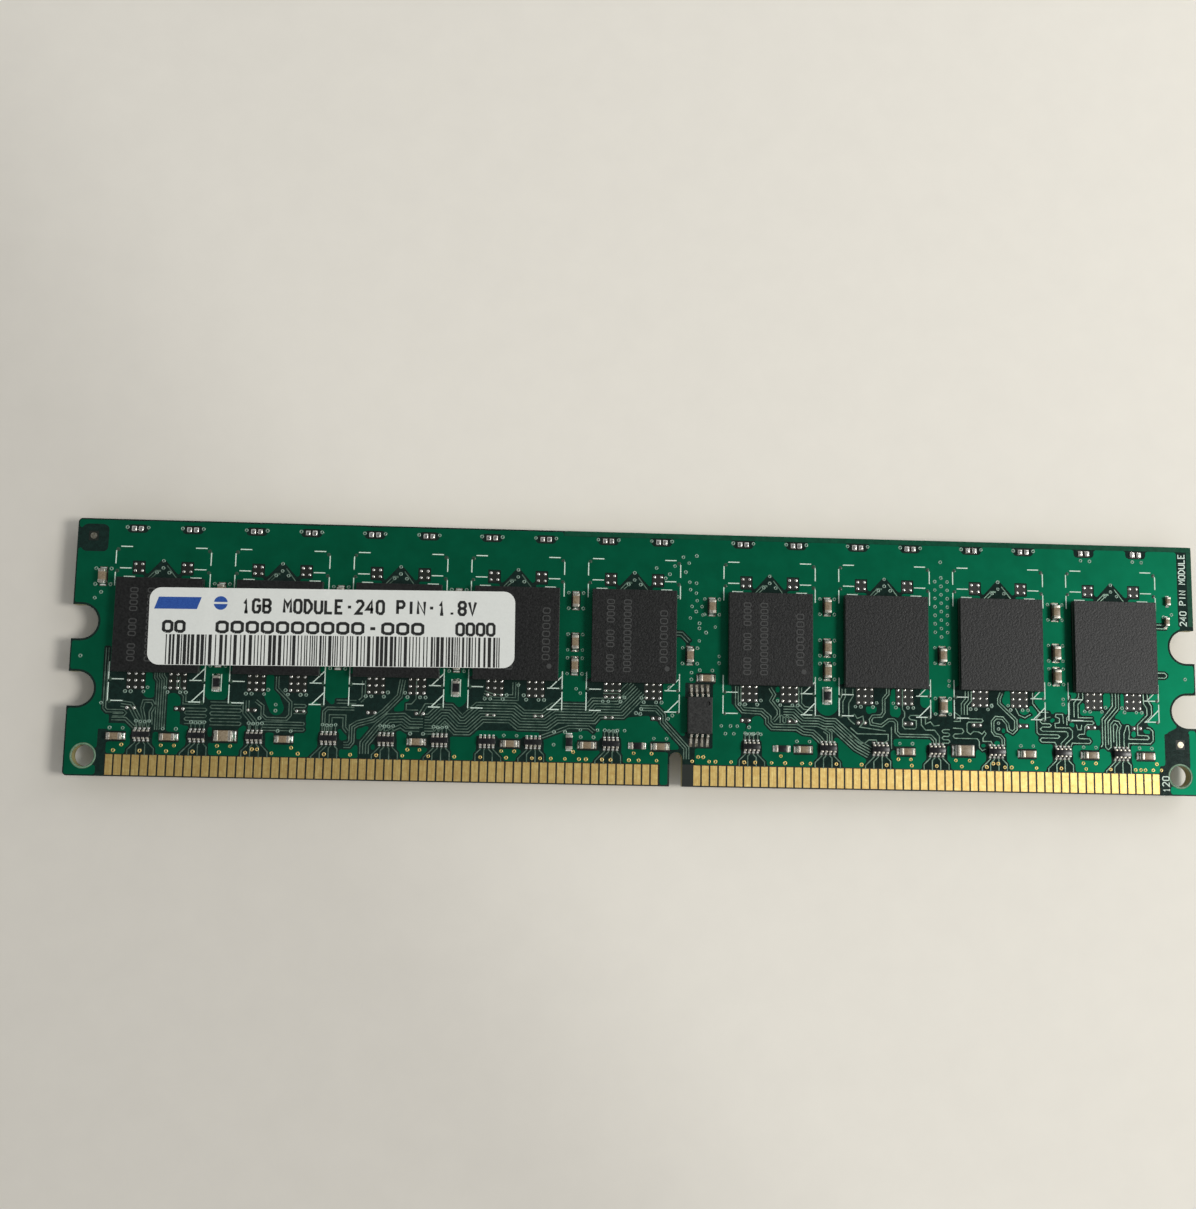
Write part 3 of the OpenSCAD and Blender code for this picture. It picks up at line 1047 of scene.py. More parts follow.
def trace_loops(values: np.ndarray, xs: np.ndarray, ys: np.ndarray) -> list[Path]:
    """Follows the zero line of a field into closed loops, and thins each to the points it needs.

    Args:
        values: The field, negative inside.
        xs: Coordinates of its rows.
        ys: Coordinates of its columns.

    Returns:
        The loops.
    """
    inside = values < 0
    code = (inside[:-1, :-1] * 1 + inside[1:, :-1] * 2 + inside[1:, 1:] * 4 + inside[:-1, 1:] * 8)
    follow: dict[tuple, tuple] = {}
    for i, j in np.argwhere((code > 0) & (code < 15)):
        edges = {"B": (i, j, 0), "T": (i, j + 1, 0), "L": (i, j, 1), "R": (i + 1, j, 1)}
        for a, b in CROSSINGS[int(code[i, j])]:
            follow[edges[a]] = edges[b]

    def spot(key: tuple) -> Point:
        """Finds where the zero line cuts a grid edge.

        Args:
            key: Row and column of the edge, and whether it is upright.

        Returns:
            The place.
        """
        i, j, upright = key
        i2, j2 = (i, j + 1) if upright else (i + 1, j)
        a, b = values[i, j], values[i2, j2]
        t = a / (a - b)
        return (xs[i] + t * (xs[i2] - xs[i]), ys[j] + t * (ys[j2] - ys[j]))

    loops = []
    while follow:
        start, here = follow.popitem()
        loop = [spot(start)]
        while here != start:
            loop.append(spot(here))
            here = follow.pop(here)
        if len(loop) > FEWEST_CORNERS:
            loops.append(thin(loop, THINNING))
    return loops


def thin(loop: Path, tolerance: float) -> Path:
    """Drops the points of a loop that lie within a tolerance of a straight line.

    Args:
        loop: The loop.
        tolerance: The tolerance.

    Returns:
        The points that are kept.
    """
    points = np.array(loop + loop[:1])
    keep = np.zeros(len(points), bool)
    middle = len(points) // 2
    keep[[0, middle, len(points) - 1]] = True
    stack = [(0, middle), (middle, len(points) - 1)]
    while stack:
        a, b = stack.pop()
        if b - a < 2:
            continue
        chord = points[b] - points[a]
        size = math.hypot(*chord)
        rest = points[a + 1 : b] - points[a]
        away = (
            np.abs(chord[0] * rest[:, 1] - chord[1] * rest[:, 0]) / size
            if size > 1e-9
            else np.hypot(rest[:, 0], rest[:, 1])
        )
        worst = int(np.argmax(away))
        if away[worst] > tolerance:
            keep[a + 1 + worst] = True
            stack += [(a, a + 1 + worst), (a + 1 + worst, b)]
    return [tuple(p) for p in points[keep][:-1]]


def filled(
    face: Face, name: str, loops: list[Path], low: float, high: float, finish: Finish
) -> bpy.types.Object:
    """Makes a flat sheet with holes from nested loops, by filling a flat curve.

    Args:
        face: The face it lies on.
        name: The piece's name.
        loops: The outlines.
        low: Height of its foot.
        high: Height of its top.
        finish: Its finish.

    Returns:
        The piece.
    """
    curve = bpy.data.curves.new(name, "CURVE")
    curve.dimensions = "2D"
    curve.fill_mode = "BOTH"
    curve.extrude = (high - low) / 2 * MM
    for loop in loops:
        spline = curve.splines.new("POLY")
        spline.points.add(len(loop) - 1)
        spline.points.foreach_set("co", [c for x, y in loop for c in (x * MM, y * MM, 0.0, 1.0)])
        spline.use_cyclic_u = True
    holder = bpy.data.objects.new(name, curve)
    bpy.context.scene.collection.objects.link(holder)
    mesh = plain_mesh(holder, name)
    bpy.data.objects.remove(holder)
    work = bmesh.new()
    work.from_mesh(mesh)
    bmesh.ops.remove_doubles(work, verts=work.verts, dist=2e-7)
    middle = Vector(face.at(0, 0, (low + high) / 2))
    for v in work.verts:
        v.co = Vector((v.co.x + middle.x, v.co.y + middle.y, v.co.z * face.side.value + middle.z))
    bmesh.ops.recalc_face_normals(work, faces=work.faces)
    work.to_mesh(mesh)
    work.free()
    return link(name, mesh, finish)


# ---------------------------------------------------------------- board layout


@dataclass(frozen=True)
class Bundle:
    """Tracks that run side by side along one path."""

    path: tuple[Point, ...]
    count: int = 1
    pitch: float = 0.34

    def tracks(self) -> list[Path]:
        """Returns each track's own path.

        Returns:
            A path for each track.
        """
        line = list(self.path)
        middle = (self.count - 1) / 2
        return [offset(line, (i - middle) * self.pitch) for i in range(self.count)]


@dataclass(frozen=True)
class Meander:
    """A track folded to and fro in a box, to tune its length."""

    x0: float
    x1: float
    y0: float
    y1: float
    pitch: float = 0.42
    upright: bool = False

    def tracks(self) -> list[Path]:
        """Returns the folded path, with its corners cut.

        Returns:
            One path, in a list.
        """
        a0, a1, b0, b1 = (
            (self.y0, self.y1, self.x0, self.x1) if self.upright else (self.x0, self.x1, self.y0, self.y1)
        )
        rows = max(int((b1 - b0) / self.pitch), 1)
        cut = min(self.pitch * 0.4, (a1 - a0) / 3)
        path: Path = []
        for r in range(rows + 1):
            b = b0 + r * self.pitch
            ends = (a0, a1) if r % 2 == 0 else (a1, a0)
            way = 1 if r % 2 == 0 else -1
            start = ends[0] + way * cut if r else ends[0]
            stop = ends[1] - way * cut if r < rows else ends[1]
            path += [(start, b), (stop, b)]
            if r < rows:
                path += [(ends[1], b + cut), (ends[1], b + self.pitch - cut)]
        return [[(y, x) if self.upright else (x, y) for x, y in path]]


@dataclass(frozen=True)
class Layout:
    """Where things are on one face of the board, in millimetres."""

    face: Face
    nodes: dict[str, bpy.types.Object]
    length: float = 133.35
    width: float = 30.0
    package_y: float = 17.5
    contact_top: float = 2.5
    key_x: float = 70.675
    hole_x: float = 2.2
    hole_y: float = 2.3
    hole_r: float = 1.25
    notch_r: float = 2.0
    notch_ys: Point = (10.0, 17.8)

    def packages(self) -> list[float]:
        """Returns the middle of each package along the board, from the frame.

        Returns:
            Nine places.
        """
        side = self.face.name
        middles = [sum(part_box(f"{side}_dram_{i}"), Vector()) / 2 for i in range(1, 10)]
        return [self.face.back_to_board(m)[0] for m in middles]

    def contacts(self) -> list[float]:
        """Returns the middle of each edge contact along the board, from the frame."""
        side = self.face.name
        return [self.face.back_to_board((a + b) / 2)[0] for a, b in islands(self.nodes[f"{side}_contacts"])]

    def parts(self, node: str) -> list[Place]:
        """Returns x, y, height and turn of each solid of a node of chip parts.

        Args:
            node: The node's name.

        Returns:
            The places.
        """
        found = []
        for a, b in islands(self.nodes[node]):
            x, y, _ = self.face.back_to_board((a + b) / 2)
            turn = 90.0 if (b - a).y > (b - a).x + 1e-6 else 0.0
            found.append((x, y, 0.0, turn))
        return found


FRONT_BUNDLES = (
    # Round the left end and under the first package
    Bundle(((4.3, 14.8), (4.3, 7.8), (4.6, 7.5), (6.5, 7.5), (6.7, 7.3), (6.5, 7.05),
            (5.3, 7.05)), 2, 0.3),
    Bundle(((5.2, 6.6), (6.8, 6.6), (7.9, 5.6)), 2, 0.3),
    Bundle(((6.2, 8.35), (7.3, 8.2), (8.3, 6.5), (8.5, 5.5)), 3, 0.32),
    Bundle(((9.2, 5.5), (8.6, 7.9), (8.8, 8.7), (9.7, 8.7), (10.0, 8.2), (9.6, 7.4),
            (9.7, 6.0)), 2, 0.3),
    Bundle(((10.4, 12.0), (10.4, 11.6), (10.7, 11.2), (10.7, 5.4)), 5, 0.27),
    Meander(13.5, 16.0, 6.2, 8.2, 0.36),
    Meander(16.4, 20.0, 6.1, 8.8, 0.38),
    Bundle(((12.6, 11.6), (12.6, 10.4), (13.4, 9.4), (13.4, 8.6), (15.0, 8.6), (15.0, 9.0)), 2, 0.3),
    # Loops under the second package
    Bundle(((20.5, 9.0), (20.5, 7.6), (21.4, 6.6), (21.4, 5.6)), 3, 0.33),
    Bundle(((21.6, 9.0), (22.4, 8.4), (22.4, 7.4), (22.9, 6.95), (25.2, 6.95), (25.6, 7.4), (25.6, 8.9),
            (24.0, 10.5), (24.0, 11.9)), 2, 0.3),
    Meander(22.4, 27.3, 5.6, 6.6, 0.33),
    Meander(26.0, 27.4, 7.6, 9.0, 0.36),
    Bundle(((29.5, 5.5), (29.5, 7.9), (29.9, 8.3), (33.0, 8.3)), 2, 0.3),
    Bundle(((30.3, 5.5), (30.3, 7.4), (31.9, 7.4), (31.9, 6.1), (32.3, 5.6)), 2, 0.33),
    Bundle(((30.9, 9.1), (33.2, 9.1)), 2, 0.36),
    # Slanted run under the third package, towards the wave
    Bundle(((31.9, 4.1), (32.5, 4.1), (32.8, 4.5), (32.8, 6.2), (33.4, 6.6), (35.2, 7.1), (36.4, 8.0),
            (38.2, 9.9), (38.5, 11.8)), 3, 0.3),
    Bundle(((34.0, 11.6), (34.0, 9.6), (33.6, 9.2)), 2, 0.36),
    Bundle(((34.3, 3.1), (34.3, 4.3), (35.8, 6.2), (37.0, 7.3), (38.7, 7.4), (39.5, 6.8),
            (41.0, 6.8)), 4, 0.33),
    Bundle(((36.5, 5.5), (38.4, 6.4), (39.0, 6.0), (40.6, 6.0)), 2, 0.34),
    Bundle(((40.1, 11.7), (40.1, 9.6), (39.6, 9.0), (39.0, 9.0), (39.0, 8.3), (40.4, 8.3))),
    Bundle(((40.6, 7.7), (41.3, 8.9), (42.4, 8.9)), 2, 0.36),
    Bundle(((41.2, 6.7), (42.0, 6.7), (43.2, 7.9), (43.9, 7.9), (45.1, 6.7), (46.0, 6.7), (47.6, 8.2),
            (51.4, 8.2), (52.4, 7.4), (55.2, 7.4), (56.4, 8.3), (60.6, 8.3), (61.2, 9.0), (64.0, 9.0),
            (66.2, 11.3)), 8, 0.33),
    Bundle(((48.0, 10.4), (49.2, 10.0), (51.7, 10.0), (51.7, 11.8)), 3, 0.33),
    Bundle(((54.9, 5.5), (57.0, 6.3), (58.0, 6.7), (60.4, 6.7), (61.0, 6.2)), 2, 0.33),
    Bundle(((62.0, 10.9), (64.0, 10.9), (65.0, 11.9)), 2, 0.33),
    # From the fifth package to the key
    Bundle(((66.4, 9.1), (68.3, 9.1), (69.1, 8.3), (69.1, 7.5), (71.9, 4.5), (71.9, 3.2)), 3, 0.3),
    Bundle(((70.4, 18.0), (71.2, 18.0), (72.1, 17.1)), 2, 0.36),
    # Right of the key
    Bundle(((78.0, 11.9), (78.0, 9.8), (78.6, 9.1), (80.8, 9.0), (81.6, 8.3), (81.6, 7.7), (82.1, 7.2),
            (85.0, 7.2), (85.8, 6.7), (86.9, 6.6), (87.7, 5.9), (88.0, 5.5)), 3, 0.32),
    Bundle(((81.8, 11.8), (82.3, 11.0), (81.9, 10.3), (82.8, 9.2), (82.8, 8.6), (82.2, 7.9)), 2, 0.3),
    Meander(83.0, 84.2, 7.7, 8.6, 0.34, upright=True),
    Bundle(((83.4, 9.0), (84.6, 9.0), (85.7, 8.0), (87.6, 8.0), (88.3, 7.7), (89.4, 7.7), (92.2, 5.2),
            (93.7, 4.4)), 5, 0.32),
    Bundle(((85.4, 11.9), (85.4, 10.0), (85.9, 9.5), (86.9, 9.4)), 2, 0.34),
    Bundle(((88.9, 5.5), (88.9, 6.6), (88.3, 7.0)), 3, 0.28),
    Bundle(((90.6, 11.9), (90.6, 11.0), (90.3, 10.4), (90.3, 9.0)), 2, 0.4),
    Bundle(((91.7, 11.9), (91.7, 11.0), (91.2, 10.2), (91.2, 8.3), (91.9, 7.7))),
    # Under the seventh package
    Bundle(((91.0, 8.5), (91.9, 8.9), (92.2, 8.4), (92.9, 8.7), (93.0, 8.0), (92.5, 7.4), (95.6, 7.0))),
    Bundle(((91.4, 7.3), (92.2, 6.6), (95.9, 6.6), (95.9, 5.9), (95.3, 5.5))),
    Bundle(((91.3, 6.3), (92.6, 5.5), (93.1, 5.5), (93.6, 5.9), (94.5, 5.9), (94.6, 5.5))),
    Bundle(((96.3, 4.9), (96.3, 7.5))),
    Bundle(((95.9, 12.0), (95.9, 11.4), (95.4, 10.8), (95.4, 9.2), (95.1, 8.75), (94.1, 8.7),
            (93.8, 8.3), (93.9, 7.8), (95.1, 7.6), (96.0, 8.3), (96.6, 8.3), (96.9, 8.0), (96.9, 6.9),
            (97.3, 6.5), (101.0, 6.5), (101.5, 6.0), (101.5, 5.5)), 2, 0.3),
    Bundle(((97.65, 12.0), (97.65, 9.6), (97.9, 9.3), (97.9, 8.7), (97.65, 8.4), (97.65, 7.6),
            (97.9, 7.3), (99.1, 7.3), (99.3, 7.5), (99.3, 8.3), (98.6, 8.4), (98.4, 8.65), (98.6, 8.9),
            (99.7, 8.9))),
    Bundle(((99.9, 8.8), (99.9, 7.8), (100.4, 7.2), (101.5, 7.2), (102.05, 6.5), (102.05, 5.5))),
    Bundle(((100.4, 8.8), (100.4, 7.9), (101.0, 8.2), (101.4, 7.7), (102.1, 7.8))),
    Meander(102.4, 103.3, 5.7, 7.6, 0.4),
    Bundle(((103.8, 8.3), (104.6, 8.3), (104.6, 8.9), (103.9, 9.4), (103.9, 11.0))),
    Bundle(((103.7, 7.5), (104.8, 7.45), (105.0, 7.15), (104.8, 6.85), (103.9, 6.8), (103.7, 6.55),
            (103.9, 6.3), (106.6, 6.3), (106.85, 6.0), (106.85, 5.3), (107.2, 4.9), (107.6, 5.1))),
    Bundle(((105.6, 11.9), (105.6, 10.9), (105.1, 10.3), (105.1, 9.1)), 3, 0.36),
    # Under the eighth package
    Bundle(((105.6, 8.65), (107.2, 8.65), (107.35, 8.45), (107.2, 8.25), (105.6, 8.25), (105.4, 8.05),
            (105.4, 7.1), (105.8, 6.8), (106.2, 7.15), (106.8, 7.1), (107.2, 6.85), (107.5, 7.2),
            (107.7, 6.9), (107.3, 6.4), (107.3, 6.0), (108.3, 6.0), (108.5, 5.5))),
    Bundle(((109.6, 11.8), (109.3, 11.1), (109.3, 10.5), (111.3, 8.6), (111.3, 7.5), (110.9, 7.1),
            (110.4, 7.4), (110.3, 8.1), (109.7, 8.8), (108.9, 8.85), (108.5, 8.4), (108.5, 7.2),
            (108.8, 6.8), (109.4, 6.7), (109.75, 6.3), (109.75, 5.5)), 2, 0.3),
    Bundle(((111.3, 10.0), (111.7, 9.2), (112.4, 8.9), (113.1, 9.3))),
    Bundle(((113.4, 11.9), (113.4, 10.6), (114.2, 9.6), (115.3, 9.6))),
    # Folded runs between the last packages
    Bundle(((116.25, 5.5), (116.0, 6.05), (114.4, 6.05), (114.2, 6.3), (114.4, 6.55), (116.4, 6.55),
            (116.6, 6.75), (116.4, 6.95), (114.1, 6.95), (113.85, 7.2), (113.85, 8.9), (114.3, 9.3))),
    Bundle(((116.75, 5.5), (116.75, 5.95), (117.6, 6.8), (117.6, 7.15), (117.4, 7.35), (114.5, 7.35),
            (114.25, 7.6), (114.5, 7.85), (115.4, 7.85), (115.6, 8.05), (115.4, 8.25), (114.5, 8.25),
            (114.25, 8.5), (114.5, 8.85), (115.5, 9.05))),
    Bundle(((117.3, 5.5), (117.3, 5.85), (118.15, 6.65), (118.15, 7.45), (117.8, 7.8), (116.1, 7.8),
            (116.05, 8.3), (116.6, 8.4), (116.6, 8.9), (116.1, 9.1), (116.2, 9.4), (117.0, 9.4),
            (117.1, 8.3))),
    Bundle(((117.9, 5.5), (118.1, 6.0), (120.2, 6.0), (120.4, 6.25), (120.2, 6.55), (119.0, 6.55),
            (118.75, 6.8), (119.0, 7.05), (119.6, 7.1), (119.7, 8.0), (120.0, 8.25), (120.6, 8.25),
            (120.8, 8.45), (120.6, 8.65), (117.9, 8.65))),
    Bundle(((118.65, 8.2), (118.8, 7.6), (119.2, 7.6), (119.3, 8.2))),
    Bundle(((117.85, 11.6), (117.85, 9.4), (117.5, 9.0), (117.5, 8.1))),
    Bundle(((119.5, 12.0), (119.5, 11.3), (118.9, 10.6), (118.9, 9.05), (120.6, 9.05))),
    Bundle(((119.0, 12.0), (119.0, 11.5), (118.4, 10.8), (118.4, 9.1))),
    # Under the ninth package
    Bundle(((123.1, 12.0), (123.1, 10.5), (121.8, 8.9), (121.8, 5.9), (121.6, 5.6))),
    Bundle(((123.5, 12.0), (123.5, 10.35), (122.15, 8.75), (122.15, 5.6), (122.45, 5.3), (122.8, 5.6),
            (122.8, 8.3), (123.2, 8.8), (123.8, 8.7), (124.1, 8.2), (123.85, 7.6), (123.85, 5.5))),
    Bundle(((123.85, 12.0), (123.85, 10.2), (122.5, 8.6), (122.5, 5.9))),
    Bundle(((123.15, 6.2), (123.15, 8.2), (123.4, 8.45), (123.7, 8.1), (123.5, 7.4), (123.5, 5.5))),
    Bundle(((124.4, 5.5), (124.4, 7.2), (124.75, 8.2), (125.0, 8.2), (125.05, 7.5))),
    Bundle(((124.95, 5.5), (124.95, 6.1), (127.6, 6.1), (127.95, 6.45), (127.95, 7.6), (127.6, 7.95),
            (127.2, 8.0))),
    Bundle(((125.1, 7.5), (125.0, 6.6), (127.3, 6.6), (127.5, 6.8), (127.3, 7.05), (126.1, 7.1),
            (126.1, 8.3), (127.3, 9.5), (127.3, 10.3), (126.9, 10.9), (126.9, 12.0))),
    Bundle(((127.4, 12.0), (127.4, 11.3), (127.85, 10.6), (127.85, 9.5), (127.0, 8.6))),
    Bundle(((128.7, 20.2), (129.9, 20.2)), 2, 0.45),
    Bundle(((128.7, 14.6), (129.6, 14.6), (129.85, 14.4), (129.85, 14.2), (129.6, 14.0),
            (128.7, 14.0))),
)
FRONT_LOOSE_VIAS = (
    (71.3, 27.2), (72.0, 26.5), (72.9, 27.4), (71.6, 25.4), (72.1, 24.2), (72.9, 24.1), (72.2, 23.3),
    (72.9, 22.9), (73.0, 22.0), (72.4, 21.3), (72.9, 20.7), (73.6, 21.3), (73.7, 20.3), (72.2, 19.9),
    (73.3, 19.3), (73.3, 18.7), (74.1, 18.2), (75.2, 18.9), (73.3, 17.2), (68.1, 25.8), (69.2, 24.6),
    (69.7, 25.1), (70.3, 26.1), (70.7, 22.4), (72.4, 13.4), (72.4, 12.6), (75.7, 15.4), (75.7, 14.6),
    (66.5, 9.0), (66.4, 8.4), (65.9, 8.5), (76.0, 7.2), (77.1, 7.2), (77.9, 7.2), (79.3, 7.1),
    (76.5, 6.3), (77.5, 6.3), (79.0, 6.3), (79.7, 6.3), (80.7, 6.3), (102.4, 27.4), (103.3, 13.1),
    (103.3, 12.5), (58.8, 11.2), (59.3, 10.7), (69.8, 11.6), (69.7, 7.9), (70.2, 8.3), (3.1, 21.3),
    (2.4, 20.6), (1.2, 13.8), (3.9, 8.4), (132.1, 13.9), (117.1, 11.2), (117.1, 10.6), (108.4, 10.2),
    (109.2, 8.2), (109.2, 7.5), (130.7, 21.7), (129.7, 21.4), (52.0, 11.5), (63.5, 6.3), (64.6, 6.4),
    (59.4, 6.4), (61.4, 6.4), (57.6, 6.1), (56.3, 6.1), (56.3, 4.6), (23.9, 8.6), (23.9, 7.9),
    (22.1, 7.0),
)
FRONT_GOLD_VIAS = (
    54.75, 56.0, 57.65, 59.3, 60.1, 62.0, 63.0, 65.15, 66.3, 68.4, 72.6, 74.6, 75.35, 77.2, 78.75,
    80.05, 82.0, 83.6, 85.6, 86.6, 109.9, 126.35, 126.9, 127.85, 128.85,
)
FRONT_RETURN_VIAS = (
    (6.5, 3.65), (11.0, 3.65), (12.5, 3.65), (17.4, 3.7), (18.9, 3.7), (21.4, 3.4), (22.0, 3.4),
    (25.9, 3.65), (39.3, 3.7), (40.7, 3.7), (50.2, 3.75), (51.7, 3.75), (65.7, 3.8), (67.8, 3.8),
    (73.3, 3.5), (73.9, 3.5), (97.1, 3.7), (98.6, 3.7), (104.0, 3.7), (105.65, 3.7), (108.5, 3.4),
    (109.1, 3.4), (113.2, 3.65), (119.4, 3.65), (120.9, 3.65), (128.3, 3.7), (83.1, 3.8), (58.6, 3.8),
)
BACK_BUNDLES = (
    Bundle(((4.15, 14.8), (4.15, 8.3), (4.85, 7.6), (6.4, 7.6)), 2, 0.3),
    Bundle(((9.0, 11.8), (9.0, 9.4), (10.2, 8.2), (17.6, 8.2), (18.6, 9.2), (21.6, 9.2), (22.6, 8.2),
            (31.6, 8.2), (32.6, 9.2), (35.6, 9.2), (36.8, 8.0), (44.0, 8.0), (45.4, 9.2), (49.2, 9.2),
            (50.4, 8.0), (59.0, 8.0), (60.2, 9.2), (63.2, 9.2), (65.2, 11.4)), 5, 0.34),
    Bundle(((6.4, 6.3), (13.2, 6.3), (13.9, 6.9), (18.9, 6.9)), 2, 0.34),
    Bundle(((23.0, 6.9), (29.0, 6.9), (29.8, 6.2), (35.8, 6.2)), 2, 0.34),
    Meander(38.3, 41.6, 5.9, 7.0, 0.4),
    Bundle(((50.9, 6.5), (57.0, 6.5), (57.9, 6.0), (61.6, 6.0)), 3, 0.34),
    Bundle(((66.4, 9.1), (68.3, 9.1), (69.1, 8.3), (71.9, 5.5), (71.9, 3.2)), 3, 0.3),
    Bundle(((77.5, 12.0), (77.5, 10.4), (79.7, 8.2), (88.0, 8.2), (89.2, 9.4), (93.0, 9.4), (94.4, 8.0),
            (101.6, 8.0), (103.0, 9.2), (107.0, 9.2), (108.2, 8.0), (115.0, 8.0), (116.4, 9.4),
            (121.0, 9.4), (122.4, 8.0), (127.6, 8.0)), 5, 0.34),
    Meander(81.4, 86.6, 5.9, 6.9, 0.36),
    Meander(97.0, 100.2, 5.8, 7.0, 0.4),
    Meander(111.2, 115.0, 5.8, 6.9, 0.38),
    Bundle(((118.4, 6.4), (122.6, 6.4), (123.0, 6.0)), 2, 0.34),
)
# Where the fill shows between the tracks below the packages: the middle line and half the width.
FRONT_ISLANDS = (
    (((12.1, 3.2), (12.1, 8.8)), 0.9), (((9.4, 9.9), (9.4, 11.4)), 0.85),
    (((23.2, 11.4), (23.4, 9.6), (24.0, 8.2)), 0.85), (((28.3, 3.2), (28.3, 8.2)), 0.85),
    (((33.4, 3.4), (33.7, 5.2), (35.6, 6.5), (38.4, 8.7), (39.2, 10.9)), 0.6),
    (((45.6, 3.0), (45.6, 4.9)), 1.3), (((50.0, 10.6), (50.2, 11.6)), 0.6),
    (((56.2, 3.0), (56.2, 5.2)), 1.2), (((60.4, 6.2), (68.4, 7.0)), 1.3),
    (((76.7, 3.5), (77.2, 8.0)), 1.8), (((79.2, 4.6), (80.4, 7.4)), 1.1),
    (((81.6, 6.2), (86.2, 5.6)), 0.8), (((82.8, 9.9), (82.8, 11.6)), 0.4),
    (((90.6, 3.4), (92.4, 4.2)), 1.0), (((93.9, 9.5), (93.9, 11.4)), 0.65),
    (((96.8, 9.2), (96.8, 11.4)), 0.65), (((97.4, 4.2), (99.9, 4.2)), 1.3),
    (((100.4, 10.4), (100.4, 11.6)), 0.6),
)
BACK_ISLANDS = (
    (((15.6, 10.2), (18.4, 10.2)), 0.8), (((28.4, 3.2), (28.4, 5.6)), 1.1),
    (((46.0, 3.0), (46.0, 6.4)), 1.2), (((61.0, 6.6), (68.4, 7.4)), 1.1),
    (((76.7, 3.5), (77.0, 8.4)), 1.7), (((91.6, 3.4), (91.6, 6.4)), 1.2),
    (((105.6, 3.2), (105.6, 6.2)), 1.2), (((120.4, 3.4), (120.8, 5.4)), 1.1),
    (((128.7, 3.6), (129.3, 9.4)), 0.9),
)
# Staggered rows of four under the middle of the back, with every fifth place left empty.
BACK_LOOSE_VIAS = tuple(
    (72.0 + 0.9 * (k % 4) + 0.35 * (k // 4 % 2), 16.4 + 0.85 * (k // 4))
    for k in range(44)
    if k % 5 != 3
)


